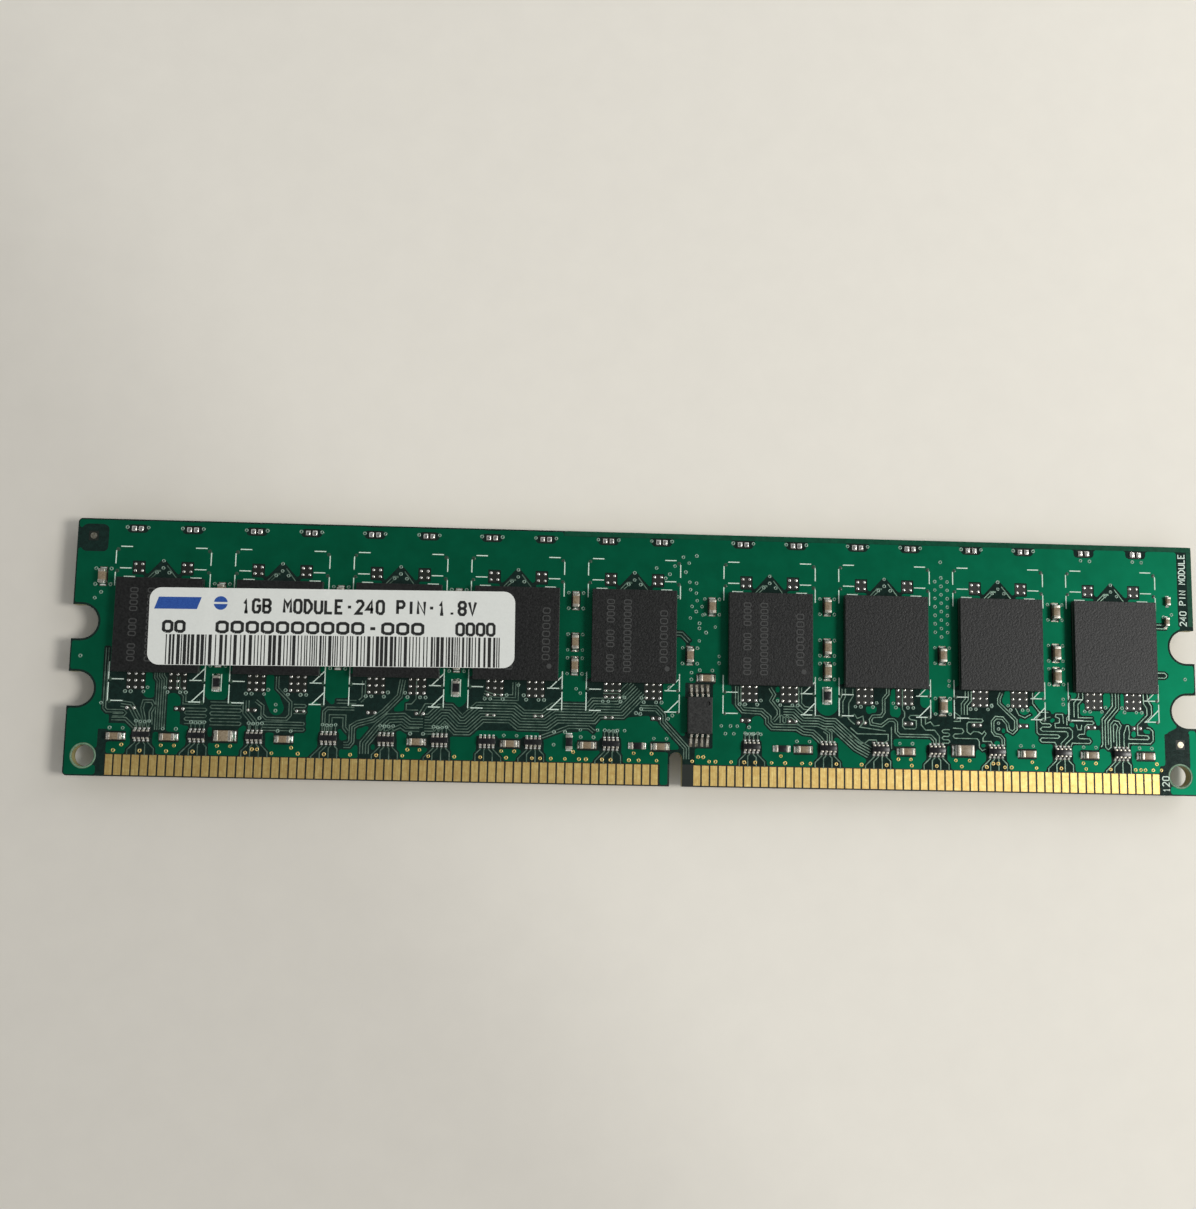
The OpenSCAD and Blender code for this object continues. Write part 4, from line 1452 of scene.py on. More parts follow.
@dataclass
class Artwork:
    """Copper, vias and silkscreen of one face."""

    layout: Layout
    track_w: float = 0.14
    track_gap: float = 0.17
    foot: float = -0.01
    fill_h: float = 0.018
    edge_h: float = 0.006
    edge_band: float = 0.62
    hole_gap: float = 0.25
    track_h: float = 0.024
    silk_w: float = 0.12
    silk_h: float = 0.03
    ring_outer: float = 0.225
    ring_inner: float = 0.1
    tracks: list[Path] = field(default_factory=list)
    rings: list[Point] = field(default_factory=list)
    gold_rings: list[Point] = field(default_factory=list)
    plugs: list[Point] = field(default_factory=list)

    @property
    def side(self) -> str:
        """The face's name, as pieces use it."""
        return self.layout.face.name

    def front(self) -> bool:
        """Says whether this is the front face."""
        return self.layout.face.side is Side.FRONT

    def has_vias_above(self, x: float) -> bool:
        """Says whether a resistor array ends in vias, or in long tracks as the front's right ones do."""
        return not self.front() or x < 46.0 or 57.0 < x < 86.0

    def build(self) -> None:
        """Routes the tracks, then makes every copper and ink piece of the face."""
        self.route()
        self.drill()
        self.fill()
        solid = Solid(self.layout.face)
        for path in self.tracks:
            solid.strip(path, self.track_w, self.foot, self.track_h, 0.7)
        settle(solid.make(f"{self.side}_tracks", MASK_ON_TRACK), "solder_mask")
        self.make_vias()
        self.make_silk()

    def route(self) -> None:
        """Collects the bundles, the fans from arrays to contacts, and the roofs above the packages."""
        for run in FRONT_BUNDLES if self.front() else BACK_BUNDLES:
            self.tracks += run.tracks()
        contacts = self.layout.contacts()
        for x, y, _, _ in self.layout.parts(f"{self.side}_resistor_arrays"):
            near = sorted(sorted(contacts, key=lambda c: abs(c - x))[:4])
            for step, contact in zip(ARRAY_STEPS, near):
                start = (x + step, y - 0.8)
                drop = abs(contact - start[0])
                turn_y = max(start[1] - 0.15 - drop, self.layout.contact_top + 0.12)
                self.tracks.append([start, (start[0], turn_y + drop), (contact, turn_y), (contact, 2.45)])
                if self.has_vias_above(x):
                    self.tracks.append([(x + step, y + 0.7), (x + step, y + 1.25 + 0.12 * abs(step))])
        for x in self.layout.packages():
            for k in (0.0, 0.38):
                self.tracks.append(
                    [(x - 1.9 + k, 22.9), (x - 0.85 + k, 24.0 - k * 0.3), (x - 0.25, 24.0 - k * 0.3)]
                )
            self.tracks.append([(x + 1.75, 22.9), (x + 1.1, 23.75), (x + 0.45, 24.6)])

    def drill(self) -> None:
        """Places the via rings: by rule round parts and packages, and one by one where they are loose."""
        parts = self.layout.parts
        for x, y, _, turn in parts(f"{self.side}_capacitors"):
            if turn:
                self.rings += [(x + sx * 0.88, y + sy * 0.92) for sx in (-1, 1) for sy in (-1, 1)]
            else:
                self.rings += [(x - 0.75, y + 0.95), (x + 0.75, y + 0.95)]
        for x in self.layout.packages():
            self.rings += [(x, 25.15), (x, 24.3), (x - 0.72, 23.75), (x + 0.72, 23.75)]
            self.rings += [(x + s, 9.8) for s in (-3.55, -2.9, -1.45, 1.3, 2.75, 3.4)]
            self.rings += [(x + s, 10.3) for s in (-1.0, 1.0)]
            for s in (-1, 1):
                mid = x + s * 3.2
                if x > 120:
                    self.rings += [(mid - 0.4, 28.05), (mid + 0.7, 28.0)]
                else:
                    self.rings += [(mid - 1.22, 29.05), (mid + 1.22, 29.05)]
                self.plugs += [(x + s * 5.3, y) for y in (26.4, 23.85, 11.2, 8.65)]
        for x, y, _, _ in parts(f"{self.side}_resistor_arrays"):
            if self.has_vias_above(x):
                self.rings += [(x + s, y + 1.45 + 0.12 * abs(s)) for s in ARRAY_STEPS]
        self.rings += list(FRONT_LOOSE_VIAS if self.front() else BACK_LOOSE_VIAS)
        step = 1.02
        self.rings += [(x, 18.9 + step * k) for x in (101.7, 103.2) for k in range(7)]
        self.rings += [(102.45, 18.35 + step * k) for k in range(8)]
        ground = [5.6 + 3.0125 * k for k in range(17)] + [89.7 + 3.0 * k for k in range(13)]
        self.gold_rings = [(x, 2.98) for x in ground]
        if self.front():
            self.gold_rings += [(x, 2.98) for x in FRONT_GOLD_VIAS]
            self.gold_rings += list(FRONT_RETURN_VIAS)

    def fill(self) -> None:
        """Floods the face with ground copper that keeps clear of tracks, parts, edges and holes."""
        lay = self.layout
        flood = CopperField(lay.length, lay.width, 0.15)
        flood.carve_box(4.9, 68.4, 6.1, 12.4)
        flood.carve_box(77.2, 109.6 if self.front() else 130.4, 6.1, 12.4)
        middles = lay.packages()
        for a, b in zip(middles, middles[1:]):
            flood.keep_path([((a + b) / 2, 10.0), ((a + b) / 2, 13.0)], 1.35 if b - a < 14.5 else 3.4)
        for path, radius in FRONT_ISLANDS if self.front() else BACK_ISLANDS:
            flood.keep_path(list(path), radius)
        for path in self.tracks:
            flood.carve_path(path, self.track_w / 2 + self.track_gap)
        for x in lay.packages():
            for s in (-1, 1):
                flood.carve_box(x + s * 2.8 - 0.75, x + s * 2.8 + 0.75, 23.5, 25.1)
                flood.carve_box(x + s * 2.4 - 1.15, x + s * 2.4 + 1.15, 9.85, 12.4)
                flood.carve_box(x + s * 2.8 - 0.7, x + s * 2.8 + 0.7, 7.6, 8.2)
                flood.carve_path([(x + s * 3.2 - 0.75, 28.9), (x + s * 3.2 + 0.75, 28.9)], 0.5)
                flood.carve_path([(x, 25.0), (x + s * 1.9, 22.9)], 0.32)
            flood.carve_path([(x - 0.8, 23.2), (x, 24.4), (x + 0.8, 23.2)], 0.7)
            flood.carve_box(x - 4.95, x + 4.95, 12.05, 22.95)
        for node, reach in ((f"{self.side}_capacitors", 1.15), (f"{self.side}_resistor_arrays", 1.2)):
            for x, y, _, turn in lay.parts(node):
                a, b = (0.55, reach) if turn else (reach, 0.62)
                flood.carve_box(x - a, x + a, y - b, y + b)
        if self.front():
            flood.carve_box(71.7, 75.0, 4.5, 6.4)
            flood.carve_box(71.7, 75.0, 10.3, 12.2)
            for x, y, _, _ in lay.parts("bulk_capacitors"):
                flood.carve_box(x - 1.5, x + 1.5, y - 0.85, y + 0.85)
            for x, y, _, _ in lay.parts("front_resistor_arrays"):
                flood.carve_box(x - 1.25, x + 1.25, lay.contact_top, y)
        band = self.edge_band
        tips = lay.contact_top + 0.1
        for box in (
            # The contacts on each side of the key slot, the slot, and a gap beside it
            (3.7, 68.8, -1, tips),
            (72.0, 129.9, -1, tips),
            (lay.key_x - 0.95, lay.key_x + 0.95, -1, 4.3, 0.9),
            (72.0, 72.9, -1, 4.2),
            # The printed figures by the first and the last contact, and the words up the right end
            (3.75, 4.75, -1, 5.4),
            (128.7, 129.9, -1, 3.5),
            (131.5, 132.75, 20.3, 29.2, 0.15),
            # The paler bands along the top edge and down the right end
            (57.0, lay.length + 1, lay.width - band, lay.width + 1),
            (lay.length - band, lay.length + 1, 20.3, lay.width + 1),
            # The two alignment marks
            (0.5, 3.6, 26.1, 29.3, 0.6),
            (129.35, 132.4, 3.4, 7.3, 0.1),
        ):
            flood.carve_box(*box)
        flood.carve_path([(130.3, 7.0), (131.6, 7.6)], 0.7)
        for x in (lay.hole_x, lay.length - lay.hole_x):
            flood.carve_path([(x, lay.hole_y), (x + 0.001, lay.hole_y)], lay.hole_r + self.hole_gap)
        for x, inner in ((0.0, 1.0), (lay.length, lay.length - 1.0)):
            for y in lay.notch_ys:
                flood.carve_path([(x, y), (inner, y)], lay.notch_r + self.hole_gap)
        name = f"{self.side}_ground_fill"
        piece = filled(lay.face, name, flood.loops(), self.foot, self.fill_h, MASK_ON_COPPER)
        settle(piece, "solder_mask")
        edges = Solid(lay.face)
        low, high = self.foot, self.edge_h
        top = lay.width - band / 2
        edges.block((57.0 + lay.length) / 2, top, lay.length - 57.04, band - 0.04, low, high)
        edges.block(lay.length - band / 2, (20.3 + lay.width - band) / 2, band - 0.04, 9.7 - band, low, high)
        settle(edges.make(f"{self.side}_edge_mask", MASK_ON_EDGE), "solder_mask")

    def make_vias(self) -> None:
        """Makes the via rings and the plugs in them."""
        repeat = Repeater(self.layout.face, jitter=0.08)
        ring = Shapes.ring(self.ring_outer, self.ring_inner, 0.04)
        plug = Shapes.dome(self.ring_inner * 1.25, 0.012, turns=10)
        masked, open_rings = level(self.rings), level(self.gold_rings)
        settle(repeat.make(f"{self.side}_vias", masked, ring, VIA_RING), "solder_mask")
        settle(repeat.make(f"{self.side}_open_vias", open_rings, ring, VIA_GOLD), "gold_plating")
        settle(repeat.make(f"{self.side}_via_plugs", masked + open_rings, plug, VIA_HOLE), "solder_mask")
        lid = Shapes.dome(0.24, 0.045)
        lids = level(self.plugs)
        settle(repeat.make(f"{self.side}_plugged_vias", lids, lid, PLUGGED_VIA), "solder_mask")
        rim = Shapes.ring(1.49, 1.27, 0.012)
        lay = self.layout
        holes = level([(x, lay.hole_y) for x in (lay.hole_x, lay.length - lay.hole_x)])
        settle(Repeater(lay.face).make(f"{self.side}_hole_rims", holes, rim, BARE_RIM), "laminate")
        discard(ring, plug, lid, rim)

    def make_silk(self) -> None:
        """Prints the package corners, the first-ball triangles and the boxes round resistors."""
        solid = Solid(self.layout.face)

        def line(*points: Point) -> None:
            """Prints one line through its points."""
            solid.strip(list(points), self.silk_w, 0.0, self.silk_h)

        for x in self.layout.packages():
            for s in (-1, 1):
                far = x + s * 5.5
                line((far, 26.25), (far, 24.7))
                line((far - s * 0.5, 26.75), (far - s * 1.85, 26.75))
                line((far, 23.7), (far, 22.1))
                line((far - s * 0.5, 24.2), (far - s * 1.85, 24.2))
                line((far - s * 1.0, 23.2), (far - s * 2.3, 23.2))
                line((far, 13.2), (far, 11.2), (far - s * 1.75, 11.2))
                line((far, 10.8), (far, 8.7), (far - s * 1.75, 8.7))
            for y in (11.2, 8.7):
                line((x + 4.1, y + 0.05), (x + 5.45, y + 1.4))
        if self.front():
            for x, y, _, turn in self.layout.parts("front_resistors"):
                if turn and y > 8:
                    line((x - 0.5, y - 1.0), (x - 0.5, y + 1.0))
                    line((x + 0.5, y - 1.0), (x + 0.5, y + 1.0))
        small = Lettering(0.9, 0.12)
        small.write(solid, "120" if self.front() else "240", (129.35, 1.35), 90, 0.0, self.silk_h)
        if not self.front():
            small.write(solid, "121", (4.25, 1.3), 90, 0.0, self.silk_h)
        Lettering(0.88, 0.12, gap=1.9).write(solid, "240 PIN MODULE", (132.12, 24.75), 90, 0.0, self.silk_h)
        settle(solid.make(f"{self.side}_silkscreen", SILK), "solder_mask")


# Pen strokes of each letter and figure, on a grid four wide and six high, a point being two digits.
STROKES = {
    "0": ("10 30 41 45 36 16 05 01 10",),
    "1": ("14 26 20", "10 30"),
    "2": ("05 16 36 45 44 00 40",),
    "4": ("42 02 36 30",),
    "8": ("13 04 05 16 36 45 44 33 13 02 01 10 30 41 42 33",),
    "B": ("00 06 36 45 44 33 03", "33 42 41 30 00"),
    "D": ("00 06 26 44 42 20 00",),
    "E": ("46 06 00 40", "03 33"),
    "G": ("45 36 16 05 01 10 30 41 43 23",),
    "I": ("20 26",),
    "L": ("06 00 40",),
    "M": ("00 06 23 46 40",),
    "N": ("00 06 40 46",),
    "O": ("10 30 41 45 36 16 05 01 10",),
    "P": ("00 06 36 45 44 33 03",),
    "U": ("06 01 10 30 41 46",),
    "V": ("06 20 46",),
    "-": ("13 33",),
    ".": ("20 21",),
    " ": (),
}
LETTER_W = 4
LETTER_H = 6


@dataclass(frozen=True)
class Lettering:
    """Generic letters and figures drawn with one pen."""

    height: float
    pen: float
    gap: float = 2.1
    narrow: float = 0.85

    def write(
        self, solid: Solid, words: str, where: Point, turn: float, low: float, high: float, span: float = 0.0
    ) -> None:
        """Adds a line of text to a solid.

        Args:
            solid: What gets the letters.
            words: The text.
            where: Place of the text's lower left corner, or of its middle if it has no span.
            turn: Turn of the text, in degrees.
            low: Height of the ink's foot.
            high: Height of the ink's face.
            span: Length of the whole text; without it, letters keep their normal width.
        """
        units = len(words) * (LETTER_W + self.gap) - self.gap
        tall = (self.height - self.pen) / LETTER_H
        wide = (span - self.pen) / units if span else tall * self.narrow
        start = (self.pen / 2, self.pen / 2) if span else (-units * wide / 2, -tall * LETTER_H / 2)
        flip = solid.face.side.value
        c, s = math.cos(math.radians(turn)), math.sin(math.radians(turn))
        for n, letter in enumerate(words):
            for stroke in STROKES[letter]:
                path = []
                for point in stroke.split():
                    a = start[0] + (int(point[0]) + n * (LETTER_W + self.gap)) * wide
                    b = start[1] + int(point[1]) * tall
                    path.append((where[0] + flip * (a * c - b * s), where[1] + a * s + b * c))
                solid.strip(path, self.pen, low, high)


# ---------------------------------------------------------------- board body


@dataclass
class Board:
    """The laminate with its masks, planes, contacts and lands, which keep their frame shapes."""

    nodes: dict[str, bpy.types.Object]
    contact_round_mm: float = 0.02

    def build(self) -> None:
        """Dresses the board's own nodes."""
        dress(self.nodes["board_laminate"], LAMINATE)
        for side in Side:
            name = side.name.lower()
            dress(self.nodes[f"{name}_solder_mask"], MASK_ON_LAMINATE)
            dress(self.nodes[f"{name}_contacts"], GOLD)
            dress(self.nodes[f"{name}_lands"], TIN_LAND)
            dress(self.nodes[f"{name}_substrates"], SUBSTRATE)
            dress(self.nodes[f"{name}_dies"], SILICON)
            soften(self.nodes[f"{name}_contacts"], self.contact_round_mm)
        dress(self.nodes["ground_plane"], COPPER)
        dress(self.nodes["power_plane"], COPPER)
        dress(self.nodes["eeprom_die"], SILICON)


def dress(node: bpy.types.Object, finish: Finish) -> None:
    """Gives a CAD node a finish, and leaves its shape alone."""
    node.data.materials.clear()
    node.data.materials.append(finish.build())


def soften(node: bpy.types.Object, round_mm: float, segments: int = 2, shrink_mm: float = 0.0) -> None:
    """Rounds a CAD node's sharp edges a little with modifiers.

    Args:
        node: The CAD node, whose own mesh stays as it is.
        round_mm: Width of the rounding.
        segments: Steps across the rounding.
        shrink_mm: How far each face of a block moves in first, to leave room for marks on it.
    """
    weld = node.modifiers.new("weld", "WELD")
    weld.merge_threshold = 1e-6
    if shrink_mm:
        inwards = node.modifiers.new("shrink", "DISPLACE")
        inwards.mid_level = 0.0
        inwards.strength = -shrink_mm * MM * math.sqrt(3)
    bevel = node.modifiers.new("round", "BEVEL")
    bevel.width = round_mm * MM
    bevel.segments = segments
    bevel.limit_method = "ANGLE"
    bevel.angle_limit = math.radians(40)


# ---------------------------------------------------------------- packages


@dataclass
class Packages:
    """The memory packages of one face: mould bodies, balls, bare-land solder and laser marks."""

    layout: Layout
    round_mm: float = 0.05
    skin: float = 0.004
    sunk: float = 0.004
    raised: float = 0.003
    ball_d: float = 0.46
    marked: tuple[int, ...] = (0, 3, 4, 5)
    mark_rows: tuple[tuple[float, str, float], ...] = (
        (-2.35, "000 000 0000", 8.6), (-0.35, "000000000000", 8.6), (3.95, "0000000", 6.2),
    )
    lettering: Lettering = Lettering(0.95, 0.13)

    def build(self) -> None:
        """Dresses and softens the bodies, then makes the rest."""
        side = self.layout.face.name
        for i in range(1, 10):
            body = self.layout.nodes[f"{side}_dram_{i}"]
            dress(body, MOULD)
            soften(body, self.round_mm, shrink_mm=self.skin)
        soften(self.layout.nodes[f"{side}_substrates"], 0.02, 1)
        self.make_balls()
        self.make_domes()
        self.make_marks()

    def make_balls(self) -> None:
        """Puts a flattened ball where the frame has each plain one."""
        face = self.layout.face
        side = face.name
        boxes = islands(self.layout.nodes[f"{side}_solder_balls"])
        first = [face.back_to_board(c) for c in boxes[0]]
        low, high = sorted((first[0][2], first[1][2]))
        places = [(*face.back_to_board((a + b) / 2)[:2], low, 0.0) for a, b in boxes]
        shape = Shapes.ball(self.ball_d / 2, high - low)
        balls = Repeater(face).make(f"{side}_ball_grid", places, shape, SOLDER)
        discard(shape)
        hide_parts(f"{side}_solder_balls")
        settle(balls, "solder")

    def make_domes(self) -> None:
        """Puts domes of solder on the bare round lands and pillows on the pads left empty."""
        face = self.layout.face
        side = face.name
        round_lands, pads = [], []
        for a, b in islands(self.layout.nodes[f"{side}_lands"]):
            x, y, _ = face.back_to_board((a + b) / 2)
            size = (b - a) / MM
            if abs(size.x - size.y) < 0.02 and size.x < 0.4:
                round_lands.append((x, y))
            elif size.z > 0.06:
                pads.append((x, y))
        dome = Shapes.dome(0.185, 0.1)
        pillow = Shapes.blocks("pillow", [(0, 0, -0.02, 0.56, 0.6, 0.2)], 0.13, 3)
        lands = Repeater(face, 0.1).make(f"{side}_land_solder", level(round_lands), dome, SOLDER)
        settle(lands, "solder")
        settle(Repeater(face, 0.08).make(f"{side}_pad_solder", level(pads), pillow, SOLDER), "solder")
        discard(dome, pillow)

    def make_marks(self) -> None:
        """Lasers rows of plain figures and a first-ball dot on some of the bodies."""
        face = self.layout.face
        side = face.name
        low, high = (face.back_to_board(c)[2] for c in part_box(f"{side}_dram_1"))
        top = max(low, high) - self.skin
        solid = Solid(face)
        for i, x in enumerate(self.layout.packages()):
            if i not in self.marked:
                continue
            for column, words, span in self.mark_rows:
                place = (x + column, self.layout.package_y - 4.3 + (8.6 - span) / 2)
                self.lettering.write(solid, words, place, 90, top - self.sunk, top + self.raised, span)
            dot = circle(x + 3.9, self.layout.package_y - 3.8, 0.3, 16)
            solid.prism(dot, top - self.sunk, top + self.raised)
        settle(solid.make(f"{side}_laser_marks", LASER), "mould_compound")


# ---------------------------------------------------------------- chip parts


@dataclass(frozen=True)
class ChipSize:
    """Sizes of one kind of chip part, in millimetres."""

    length: float
    width: float
    height: float
    end: float
    round_mm: float
    run: float = 0.3
    lift: float = 0.02


class PartKind(Enum):
    """The chip parts with an end at each side."""

    CAPACITOR = ChipSize(1.6, 0.8, 0.8, 0.35, 0.07)
    BULK = ChipSize(2.0, 1.25, 1.1, 0.45, 0.09, 0.34)
    SMALL = ChipSize(1.0, 0.5, 0.5, 0.25, 0.05, 0.22)
    RESISTOR = ChipSize(1.6, 0.8, 0.45, 0.3, 0.04, 0.28)


@dataclass
class ChipParts:
    """Capacitors, resistors and resistor arrays of one face."""

    layout: Layout

    def build(self) -> None:
        """Makes each kind that the face has."""
        side = self.layout.face.name
        self.two_ended(PartKind.CAPACITOR, f"{side}_capacitors", f"{side}_capacitor_ends", CERAMIC)
        if self.layout.face.side is Side.FRONT:
            self.two_ended(PartKind.BULK, "bulk_capacitors", "bulk_capacitor_ends", CERAMIC_PALE, 0.0)
            self.two_ended(PartKind.SMALL, "small_capacitors", "small_capacitor_ends", CERAMIC, 90.0)
            self.two_ended(PartKind.RESISTOR, "front_resistors", "front_resistor_ends", GLASS_COAT)
        self.arrays()
        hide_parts(f"{side}_solder_fillets")

    def two_ended(
        self, kind: PartKind, bodies: str, ends: str, finish: Finish, turn: float | None = None
    ) -> None:
        """Makes the bodies, ends and joints of one kind, and hides the plain ones.

        Args:
            kind: The kind of part.
            bodies: Node of the plain bodies.
            ends: Node of the plain ends.
            finish: The bodies' finish.
            turn: Turn of every part, where its box doesn't tell.
        """
        size = kind.value
        face = self.layout.face
        places = [
            (x, y, size.lift, turn if turn is not None else found)
            for x, y, _, found in self.layout.parts(bodies)
        ]
        slim = 0.04
        body = Shapes.blocks(
            "body", [(0, 0, slim / 2, size.length - size.end, size.width - slim, size.height - slim)],
            size.round_mm * 0.6,
        )
        middle = (size.length - size.end) / 2
        end = Shapes.blocks(
            "end", [(s * middle, 0, 0, size.end, size.width, size.height) for s in (-1, 1)],
            size.round_mm, 3,
        )
        reach = size.length / 2 - 0.03
        joint = Shapes.fillets(
            "joint",
            [(reach, 0, 0, size.run, size.height * 0.62, size.width * 0.98),
             (-reach, 0, 180, size.run, size.height * 0.62, size.width * 0.98)],
        )
        stem = bodies.removesuffix("s")
        body_slot = "resistor_coating" if kind is PartKind.RESISTOR else "capacitor_ceramic"
        pieces = (
            (f"{stem}_bodies", body, finish, body_slot, bodies),
            (f"{stem}_terminals", end, TIN_END, "termination", ends),
            (f"{stem}_joints", joint, SOLDER, "solder", ""),
        )
        for name, shape, look, slot, plain in pieces:
            made = Repeater(face).make(name, places, shape, look)
            if plain:
                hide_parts(plain)
            settle(made, slot)
            discard(shape)

    def arrays(self) -> None:
        """Makes the four-element resistor arrays, with hollow-ended terminals and joints."""
        face = self.layout.face
        side = face.name
        places = [(x, y, 0.02, 0.0) for x, y, _, _ in self.layout.parts(f"{side}_resistor_arrays")]
        body = Shapes.blocks("body", [(0, 0, 0.02, 2.0, 0.74, 0.42)], 0.035)
        ends = Shapes.blocks(
            "ends", [(k, s * 0.42, 0.0, 0.3, 0.22, 0.45) for k in ARRAY_STEPS for s in (-1, 1)], 0.04
        )
        joints = Shapes.fillets(
            "joints", [(k, s * 0.5, 90 * s, 0.28, 0.28, 0.3) for k in ARRAY_STEPS for s in (-1, 1)],
        )
        made = Repeater(face).make(f"{side}_array_bodies", places, body, GLASS_COAT)
        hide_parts(f"{side}_resistor_arrays")
        settle(made, "resistor_coating")
        made = Repeater(face).make(f"{side}_array_terminals", places, ends, TIN_END)
        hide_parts(f"{side}_array_ends")
        settle(made, "termination")
        settle(Repeater(face).make(f"{side}_array_joints", places, joints, SOLDER), "solder")
        discard(body, ends, joints)


@dataclass
class ConfigMemory:
    """The eight-lead configuration memory."""

    face: Face
    nodes: dict[str, bpy.types.Object]
    draft_mm: float = 0.09
    dimple_r: float = 0.24
    dimple_depth: float = 0.16

    def build(self) -> None:
        """Makes the moulded body with sloped sides and a dimple, and dresses the leads."""
        low, high = (self.face.back_to_board(c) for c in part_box("eeprom_body"))
        (x0, y0, z0), (x1, y1, z1) = low, high
        d = self.draft_mm
        part_line = (z0 + z1) / 2 - 0.05
        levels = ((z0, d), (part_line, 0.0), (z1 - 0.03, d * 0.9), (z1, d + 0.05))
        solid = Solid(self.face)
        points, faces = [], [(3, 2, 1, 0)]
        for z, inset in levels:
            points += [(x0 + inset, y0 + inset, z), (x1 - inset, y0 + inset, z)]
            points += [(x1 - inset, y1 - inset, z), (x0 + inset, y1 - inset, z)]
        for level in range(len(levels) - 1):
            a = 4 * level
            faces += [(a + k, a + (k + 1) % 4, a + 4 + (k + 1) % 4, a + 4 + k) for k in range(4)]
        top = 4 * (len(levels) - 1)
        faces.append((top, top + 1, top + 2, top + 3))
        solid.add(points, faces)
        body = solid.make("eeprom_moulding", SMALL_MOULD)
        cutter = Solid(self.face)
        cutter.prism(circle(x1 - 0.55, y1 - 0.8, self.dimple_r, 20), z1 - self.dimple_depth, z1 + 0.2)
        tool = cutter.make("dimple tool", SMALL_MOULD)
        cut = body.modifiers.new("dimple", "BOOLEAN")
        cut.object = tool
        cut.operation = "DIFFERENCE"
        mesh = plain_mesh(body, "eeprom_moulding")
        body.modifiers.clear()
        body.data = mesh
        discard(tool)
        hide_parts("eeprom_body")
        settle(body, "mould_compound")
        dress(self.nodes["eeprom_leads"], TIN_END)
        soften(self.nodes["eeprom_leads"], 0.02)


# ---------------------------------------------------------------- label


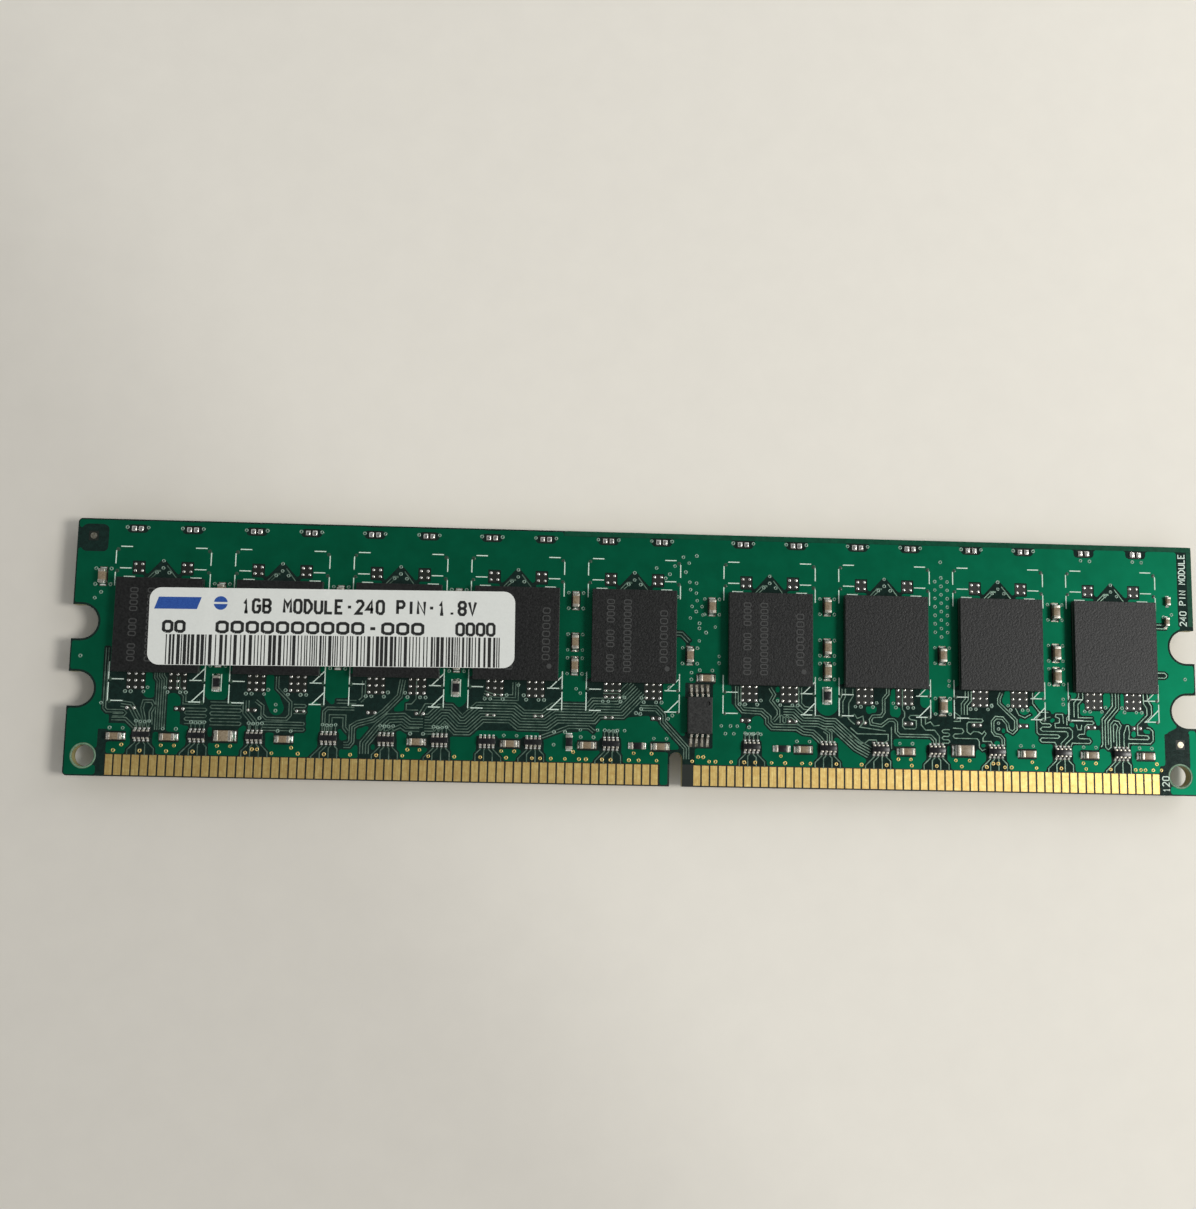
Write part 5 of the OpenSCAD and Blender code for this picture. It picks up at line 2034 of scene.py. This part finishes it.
@dataclass
class Label:
    """The paper label: it lies on four packages, and sags a little over the gaps between them."""

    layout: Layout
    length: float = 42.3
    width: float = 9.0
    turn: float = 0.7
    centre: Point = (30.3, 17.6)
    corner: float = 1.35
    sag: float = 0.05
    ink: float = 0.006
    columns: int = 170
    rows: int = 24

    def drop(self, x: float) -> float:
        """Returns how far the paper hangs below the packages' faces at a place along the board.

        Args:
            x: The place.

        Returns:
            The drop.
        """
        mids = self.layout.packages()
        for a, b in zip(mids, mids[1:]):
            start, stop = a + 5.0, b - 5.0
            if start < x < stop:
                return self.sag * math.sin(math.pi * (x - start) / (stop - start)) ** 2
        return 0.0

    def on_label(self, u: float, v: float) -> Point:
        """Turns a place from the label's middle to a place on the board.

        Args:
            u: Distance along the label.
            v: Distance across it.

        Returns:
            The place.
        """
        a = math.radians(self.turn)
        c, s = math.cos(a), math.sin(a)
        return (self.centre[0] + u * c - v * s, self.centre[1] + u * s + v * c)

    def build(self) -> None:
        """Makes the paper and what is printed on it."""
        low, high = (self.layout.face.back_to_board(c)[2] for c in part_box("label"))
        high -= self.ink + 0.002
        self.make_paper(low, high)
        self.print_black(high)
        self.print_blue(high)

    def make_paper(self, low: float, high: float) -> None:
        """Makes the sheet as a grid of columns that shorten round its corners.

        Args:
            low: Height of its lower face.
            high: Height of its upper face.
        """
        solid = Solid(self.layout.face)
        half_l, half_w, r = self.length / 2, self.width / 2, self.corner
        ends = [half_l - r + r * math.sin(t) for t in np.linspace(0, math.pi / 2, 9)]
        middle = np.linspace(-half_l + r, half_l - r, self.columns)
        us = [-u for u in reversed(ends)] + list(middle[1:-1]) + ends
        points: list = []
        for z_of in (high, low):
            for u in us:
                over = max(abs(u) - (half_l - r), 0.0)
                half = half_w - r + math.sqrt(max(r * r - over * over, 0.0))
                for k in range(self.rows + 1):
                    x, y = self.on_label(u, half * (2 * k / self.rows - 1))
                    points.append((x, y, z_of - self.drop(x)))
        n, m = len(us), self.rows + 1
        faces = []
        for sheet in (0, 1):
            base = sheet * n * m
            for i in range(n - 1):
                for k in range(m - 1):
                    a = base + i * m + k
                    faces.append((a, a + m, a + m + 1, a + 1))
        rim = [i * m for i in range(n)] + [(n - 1) * m + k for k in range(1, m)]
        rim += [i * m + m - 1 for i in range(n - 2, -1, -1)] + [k for k in range(m - 2, 0, -1)]
        faces += [(a, b, b + n * m, a + n * m) for a, b in zip(rim, rim[1:] + rim[:1])]
        solid.add(points, faces)
        paper = solid.make("paper_label", PAPER)
        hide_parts("label")
        settle(paper, "label_paper")

    def lay(self, solid: Solid, top: float) -> None:
        """Moves what was printed round the label's middle onto the paper.

        Args:
            solid: The print.
            top: Height of the paper's face.
        """
        for i, (u, v, z) in enumerate(solid.points):
            x, y = self.on_label(u, v)
            solid.points[i] = (x, y, z + top - self.drop(x))

    def print_black(self, top: float) -> None:
        """Prints the generic wording and the bars.

        Args:
            top: Height of the paper's face.
        """
        solid = Solid(self.layout.face)
        ink = self.ink
        rows = (
            (Lettering(1.8, 0.33, 2.3), "1GB MODULE-240 PIN-1.8V", (-10.6, 1.55), 27.3),
            (Lettering(1.5, 0.36, 1.9), "00", (-19.6, -0.8), 2.7),
            (Lettering(1.5, 0.36, 1.9), "0000000000-000", (-13.5, -0.8), 24.1),
            (Lettering(1.65, 0.33, 1.9), "0000", (14.2, -0.84), 4.7),
        )
        for lettering, words, where, span in rows:
            lettering.write(solid, words, where, 0, 0.0, ink, span)
        dice = random.Random(29)
        module = 0.125
        u = -19.1
        while u < 19.4:
            bar = module * dice.choice((1, 1, 2, 3))
            solid.block(u + bar / 2, -2.7, bar, 3.5, 0.0, ink)
            u += bar + module * dice.choice((1, 1, 2, 2, 3))
        self.lay(solid, top)
        settle(solid.make("label_print", BLACK_PRINT), "label_paper")

    def print_blue(self, top: float) -> None:
        """Prints two plain blue shapes: a slanted bar, and a disc with a stripe left out.

        Args:
            top: Height of the paper's face.
        """
        solid = Solid(self.layout.face)
        ink = self.ink
        solid.prism([(-20.6, 2.0), (-15.7, 2.0), (-15.2, 3.4), (-20.1, 3.4)], 0.0, ink)
        for s in (-1, 1):
            start = math.asin(0.12 / 0.8)
            arc = [
                (-13.0 + 0.8 * math.cos(a), 2.75 + s * 0.8 * math.sin(a))
                for a in np.linspace(start, math.pi - start, 14)
            ]
            solid.prism(arc if s > 0 else arc[::-1], 0.0, ink)
        self.lay(solid, top)
        settle(solid.make("label_blue_print", BLUE_PRINT), "label_paper")


# ---------------------------------------------------------------- stage


@dataclass
class Stage:
    """The floor, the lights and the camera."""

    camera_mm: Triple = (-12.55, -12.93, 159.02)
    camera_turn: Triple = (6.928, -2.718, 1.089)
    sensor_mm: float = 36.0
    lens_mm: float = 39.602978
    floor_side: float = 3.0

    def build(self) -> None:
        """Makes the stage."""
        self.make_floor()
        self.make_camera()
        self.make_lights()

    def make_floor(self) -> None:
        """Lays a wide sheet of pale paper under the object."""
        half = self.floor_side / 2
        mesh = bpy.data.meshes.new("floor")
        corners = [(-half, -half, 0), (half, -half, 0), (half, half, 0), (-half, half, 0)]
        mesh.from_pydata(corners, [], [(0, 1, 2, 3)])
        link("floor", mesh, FLOOR)

    def make_camera(self) -> None:
        """Sets the camera almost straight above the board, left of its middle."""
        data = bpy.data.cameras.new("camera")
        data.sensor_width = self.sensor_mm
        data.lens = self.lens_mm
        data.clip_start = 0.005
        camera = bpy.data.objects.new("camera", data)
        camera.location = tuple(c * MM for c in self.camera_mm)
        camera.rotation_euler = Euler([math.radians(a) for a in self.camera_turn], "XYZ")
        bpy.context.scene.collection.objects.link(camera)
        bpy.context.scene.camera = camera

    def make_lights(self) -> None:
        """Lights the scene with a soft window on the right and pale surroundings."""
        for name, place, size, power, tint in (
            ("window", (0.482, -0.048, 0.512), 0.22, 2.62, (1.0, 0.985, 0.95)),
            ("fill", (0.36, 0.3, 0.2), 0.4, 0.6, (0.96, 0.98, 1.0)),
        ):
            data = bpy.data.lights.new(name, "AREA")
            data.shape = "DISK"
            data.size = size
            data.energy = power
            data.color = tint
            lamp = bpy.data.objects.new(name, data)
            lamp.location = place
            lamp.rotation_euler = (Vector(place)).to_track_quat("Z", "Y").to_euler()
            bpy.context.scene.collection.objects.link(lamp)
        self.make_sky()

    def make_sky(self) -> None:
        """Makes pale surroundings that are darker straight above, as under a dim ceiling."""
        world = bpy.data.worlds.new("surroundings")
        bpy.context.scene.world = world
        world.use_nodes = True
        tree = world.node_tree
        tree.nodes.clear()
        way = put(tree, "ShaderNodeTexCoord").outputs["Generated"]
        height = put(tree, "ShaderNodeSeparateXYZ", {0: way}).outputs["Z"]
        shade = put(
            tree, "ShaderNodeMapRange",
            {"Value": height, "From Min": 0.45, "From Max": 0.95, "To Min": 0.68, "To Max": 0.12},
        )
        glow = put(
            tree, "ShaderNodeBackground",
            {"Color": (0.97, 0.985, 1.0, 1.0), "Strength": shade.outputs["Result"]},
        )
        put(tree, "ShaderNodeOutputWorld", {"Surface": glow.outputs["Background"]})


def main() -> None:
    """Builds every sub-assembly of the module in turn."""
    logging.basicConfig(level=logging.INFO, format="%(name)s: %(message)s")
    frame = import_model()
    nodes = frame["nodes"]
    bpy.context.scene.view_settings.view_transform = "Standard"
    Stage().build()
    Board(nodes).build()
    for side in Side:
        face = Face.of(side)
        layout = Layout(face, nodes)
        Artwork(layout).build()
        Packages(layout).build()
        ChipParts(layout).build()
        if side is Side.FRONT:
            ConfigMemory(face, nodes).build()
            Label(layout).build()


if __name__ == "__main__":
    main()
